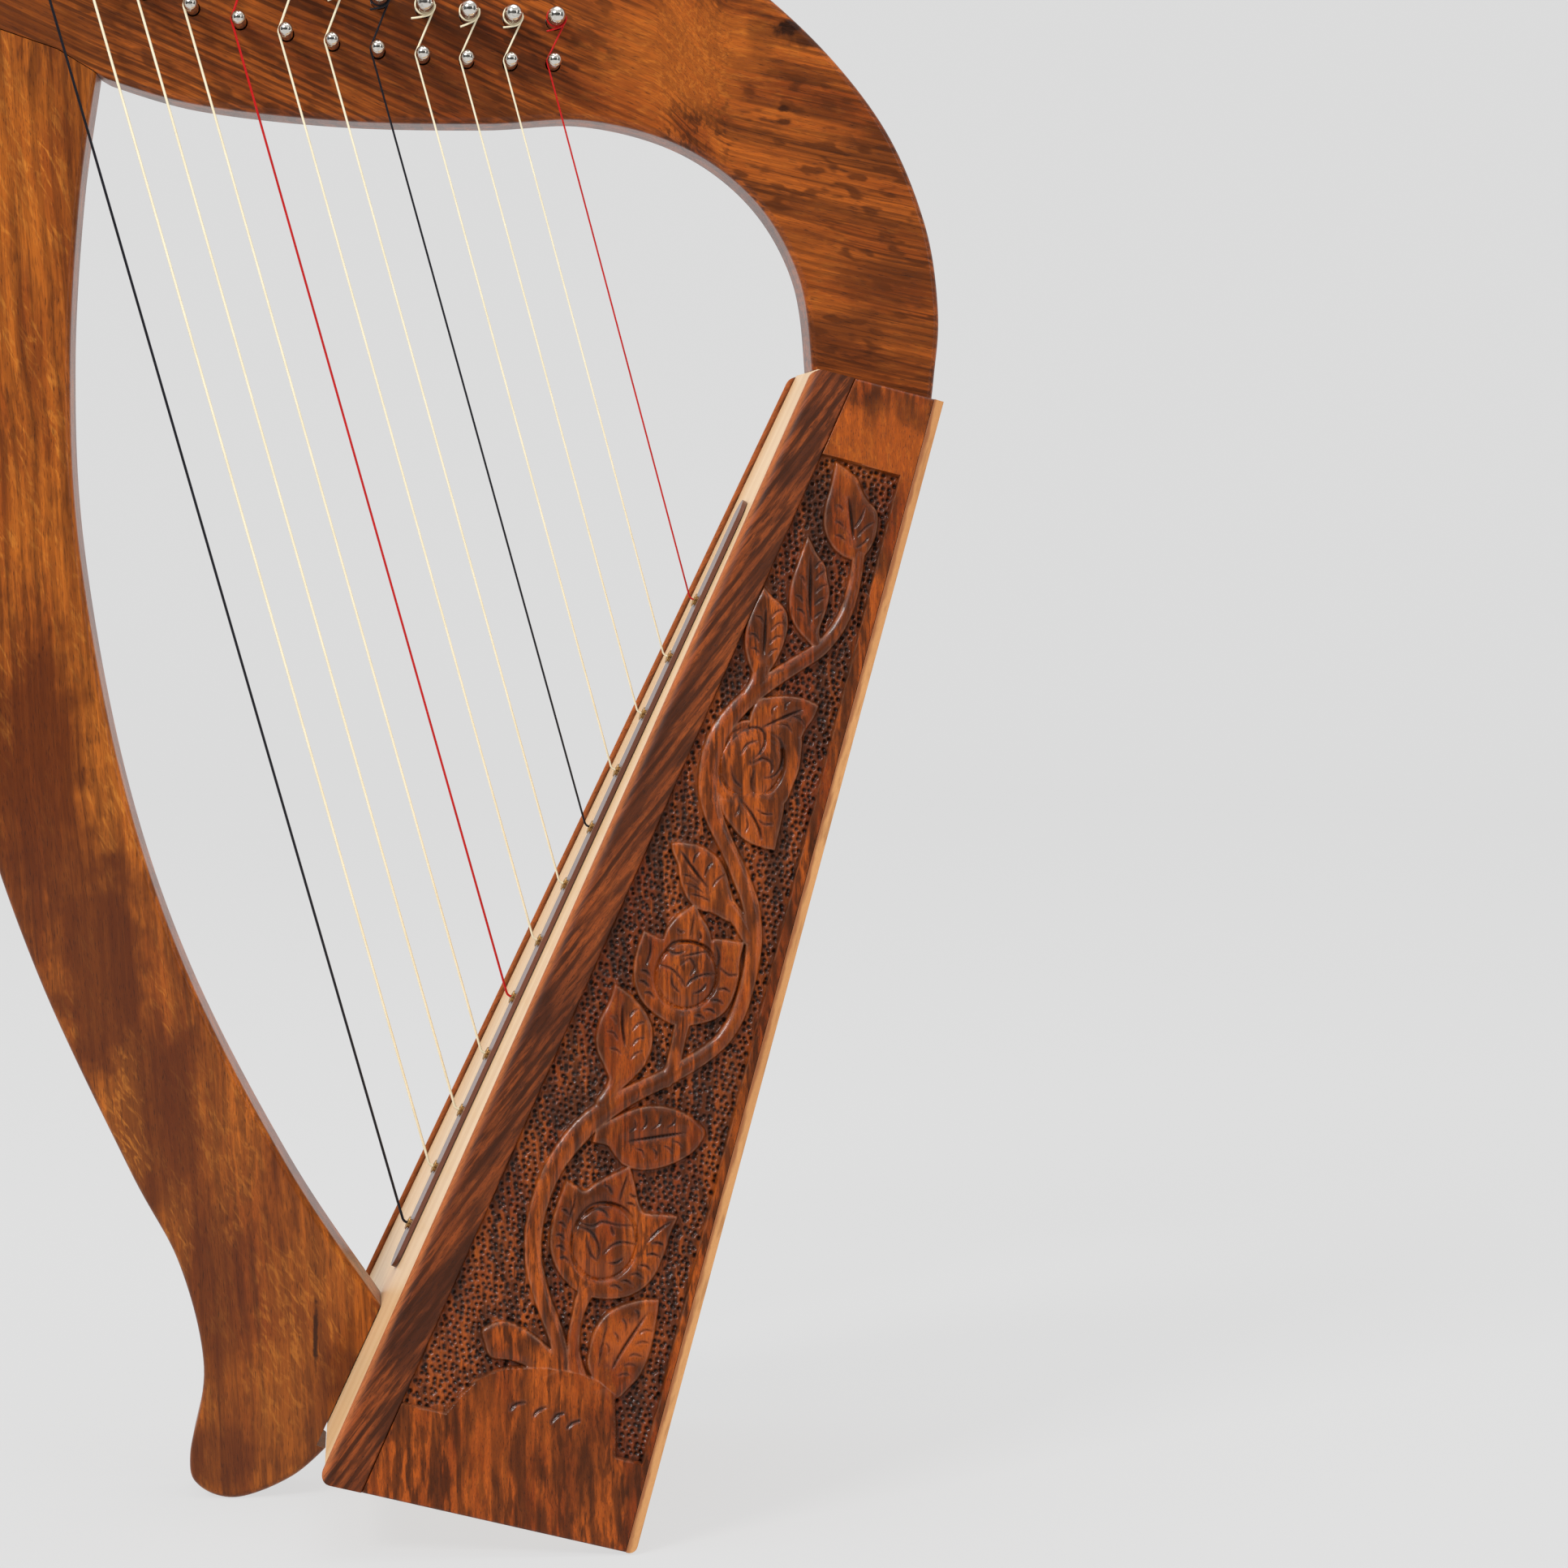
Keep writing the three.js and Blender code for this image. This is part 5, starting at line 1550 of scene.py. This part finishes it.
def tail(run):
    """The cut end, which comes off the last turn below the pin and sticks out to one side."""
    x, z = run.tuning
    level = TUNING_LEVEL - run.diameter * (TURN_PITCH * TURNS + 0.3)
    reach = TUNING_RADIUS + run.diameter * 1.5
    leave = math.radians(-70 + 9 * math.sin(run.index * 2.3))
    points = []
    for step in range(9):
        turn = leave + math.radians(75) * (1 - step / 8)
        close = reach - run.diameter * 0.5 * (1 - step / 8)
        points.append((x + close * math.cos(turn), level, z + close * math.sin(turn)))
    ahead = (math.sin(leave), -math.cos(leave))
    length = 4.6 + 0.8 * math.sin(run.index * 1.7)
    for step in range(1, 6):
        far = length * step / 5
        points.append((points[8][0] + ahead[0] * far, level - 0.02 * far * far,
                       points[8][2] + ahead[1] * far + 0.015 * far * far))
    return points


def strings():
    nylons = {
        "white": nylon("white_nylon", srgb(242, 232, 202), srgb(234, 222, 188)),
        "red": nylon("red_nylon", srgb(192, 14, 14), srgb(176, 10, 12)),
        "black": nylon("black_nylon", srgb(22, 22, 30), srgb(18, 18, 24)),
    }
    for index in range(STRINGS):
        run = StringRun(index)
        material, slot = string_material(index + 1, nylons)
        name = f"string_{index + 1:02d}"
        radius = run.diameter / 2
        cord = tubes(name + "_finish", [dense(run.route()), run.knot_loop()], radius)
        finished(cord, material, [name])
        coil = tubes(f"winding_{index + 1:02d}", [winding(run), tail(run)], radius)
        finished(coil, material, [], body=f"tuning_pin_{index + 1:02d}")


def hardware():
    nickel = metal("nickel_plate", srgb(226, 222, 214), srgb(176, 170, 160), 0.13)
    brass = metal("brass", srgb(196, 152, 92), srgb(140, 100, 58), 0.26)
    for index in range(STRINGS):
        bridge_pin(index, nickel)
        tuning_pin(index, nickel)
        eyelet(index, brass)


# ---- Studio --------------------------------------------------------------------------------


CAMERA_PLACE = (-0.0155, -1.242, 0.3157)
CAMERA_ACROSS = (0.994575, -0.103747, 0.007438)
CAMERA_FORWARD = (0.104013, 0.992030, -0.071118)
LENS = 89.44
SENSOR = 36


def camera():
    """In front of the strings' middle, turned to the right and a little down."""
    data = bpy.data.cameras.new("camera")
    data.sensor_width = SENSOR
    data.lens = LENS
    data.clip_start = 0.05
    data.clip_end = 50
    seat = bpy.data.objects.new("camera", data)
    bpy.context.scene.collection.objects.link(seat)
    across = Vector(CAMERA_ACROSS).normalized()
    forward = Vector(CAMERA_FORWARD).normalized()
    up = across.cross(forward)
    turn = Matrix((across, up, -forward)).transposed()
    seat.matrix_world = Matrix.Translation(CAMERA_PLACE) @ turn.to_4x4()
    bpy.context.scene.camera = seat


def softbox(name, place, target, size, power):
    data = bpy.data.lights.new(name, "AREA")
    data.shape = "RECTANGLE"
    data.size, data.size_y = size
    data.energy = power
    lamp = bpy.data.objects.new(name, data)
    bpy.context.scene.collection.objects.link(lamp)
    lamp.location = place
    lamp.rotation_euler = (Vector(target) - Vector(place)).to_track_quat("-Z", "Y").to_euler()


FLOOR_RADIUS = 3000
FLOOR_BEND = 1200
BOWL_HEIGHT = 3400
BOWL_SIDES = 96
FLOOR_DROP = 0.1  # keeps the floor clear of the harp's sole


def studio_bowl():
    """A pale floor that curves up into a round wall."""
    profile = [(FLOOR_RADIUS + FLOOR_BEND * sine, FLOOR_BEND * (1 - cosine)) for cosine, sine in quarter(12)]
    profile.append((FLOOR_RADIUS + FLOOR_BEND, BOWL_HEIGHT))
    vertices = [(0, 0, 0)]
    for radius, height in profile:
        for turn in full_circle(BOWL_SIDES):
            vertices.append((radius * math.cos(turn), radius * math.sin(turn), height))
    faces = [[0, 1 + corner, 1 + (corner + 1) % BOWL_SIDES] for corner in range(BOWL_SIDES)]
    faces += ring_walls(len(profile), BOWL_SIDES, first=1)
    bowl = smooth(mesh_piece("studio_floor", vertices, faces), 60)
    bowl.location.z = -FLOOR_DROP * MM
    shader = Shader("studio_paper")
    tint = shader.noise(shader.coordinates(), 1.3, 2.0)
    paper = shader.mix(shader.between(tint, 0.3, 0.7), (0.08, 0.08, 0.08, 1), (0.082, 0.082, 0.082, 1))
    bowl.data.materials.append(shader.finish(paper, 0.9, specular_ior_level=0.0, emission_strength=0.645,
                                             emission_color=(1, 1, 1, 1)))


def lights():
    world = bpy.data.worlds.new("studio")
    bpy.context.scene.world = world
    world.use_nodes = True
    background = world.node_tree.nodes["Background"]
    background.inputs["Color"].default_value = (1, 1, 1, 1)
    background.inputs["Strength"].default_value = 0.6
    softbox("key", (-1.4, -1.7, 2.0), (0, 0, 0.25), (0.75, 0.75), 50)
    softbox("fill", (1.9, -1.6, 0.9), (0, 0, 0.25), (0.9, 1.3), 10)
    softbox("top", (0.1, -0.1, 2.4), (0, 0, 0.2), (1.6, 1.6), 16)


def dark_cards():
    """Dark cards behind and beside the camera, so that gloss has something dark to mirror."""
    shader = Shader("dark_card")
    material = shader.finish((0.05, 0.05, 0.05, 1), 0.9)
    behind = [(-1800, -900), (1800, -900), (1800, 1500), (-1800, 1500)]
    beside = [(-1800, -2500), (-1790, -2500), (-1790, -300), (-1800, -300)]
    cards = [prism("card_behind", behind, -2600, -2590, in_plate)]
    for side in (1, -1):
        cards.append(prism("card_beside", beside, -900, 1500, lambda a, b, height: (side * a, b, height)))
    for card in cards:
        card.data.materials.append(material)
        card.visible_camera = False
        card.visible_diffuse = False
        card.visible_shadow = False


# ---- The whole harp ------------------------------------------------------------------------


def build():
    neck_wood = rosewood("neck_rosewood", NECK_TONES,
                         {"angle": -23, "far_angle": -12, "from": 70, "to": 96, "shift": 1.0}, NECK_LOOK)
    finished(neck_piece(), neck_wood, ["neck"])
    pillar_wood = rosewood("pillar_rosewood", PILLAR_TONES, {"angle": 94, "shift": 2.0}, PILLAR_LOOK)
    finished(pillar_piece(), pillar_wood, ["pillar"])
    panel_wood = rosewood("panel_rosewood", PANEL_TONES, {"angle": 90, "shift": 3.0}, PANEL_LOOK, carved=True)
    side_panels(panel_wood)
    soundbox()
    hardware()
    strings()


camera()
build()
studio_bowl()
lights()
dark_cards()
bpy.context.scene.view_settings.view_transform = "Standard"
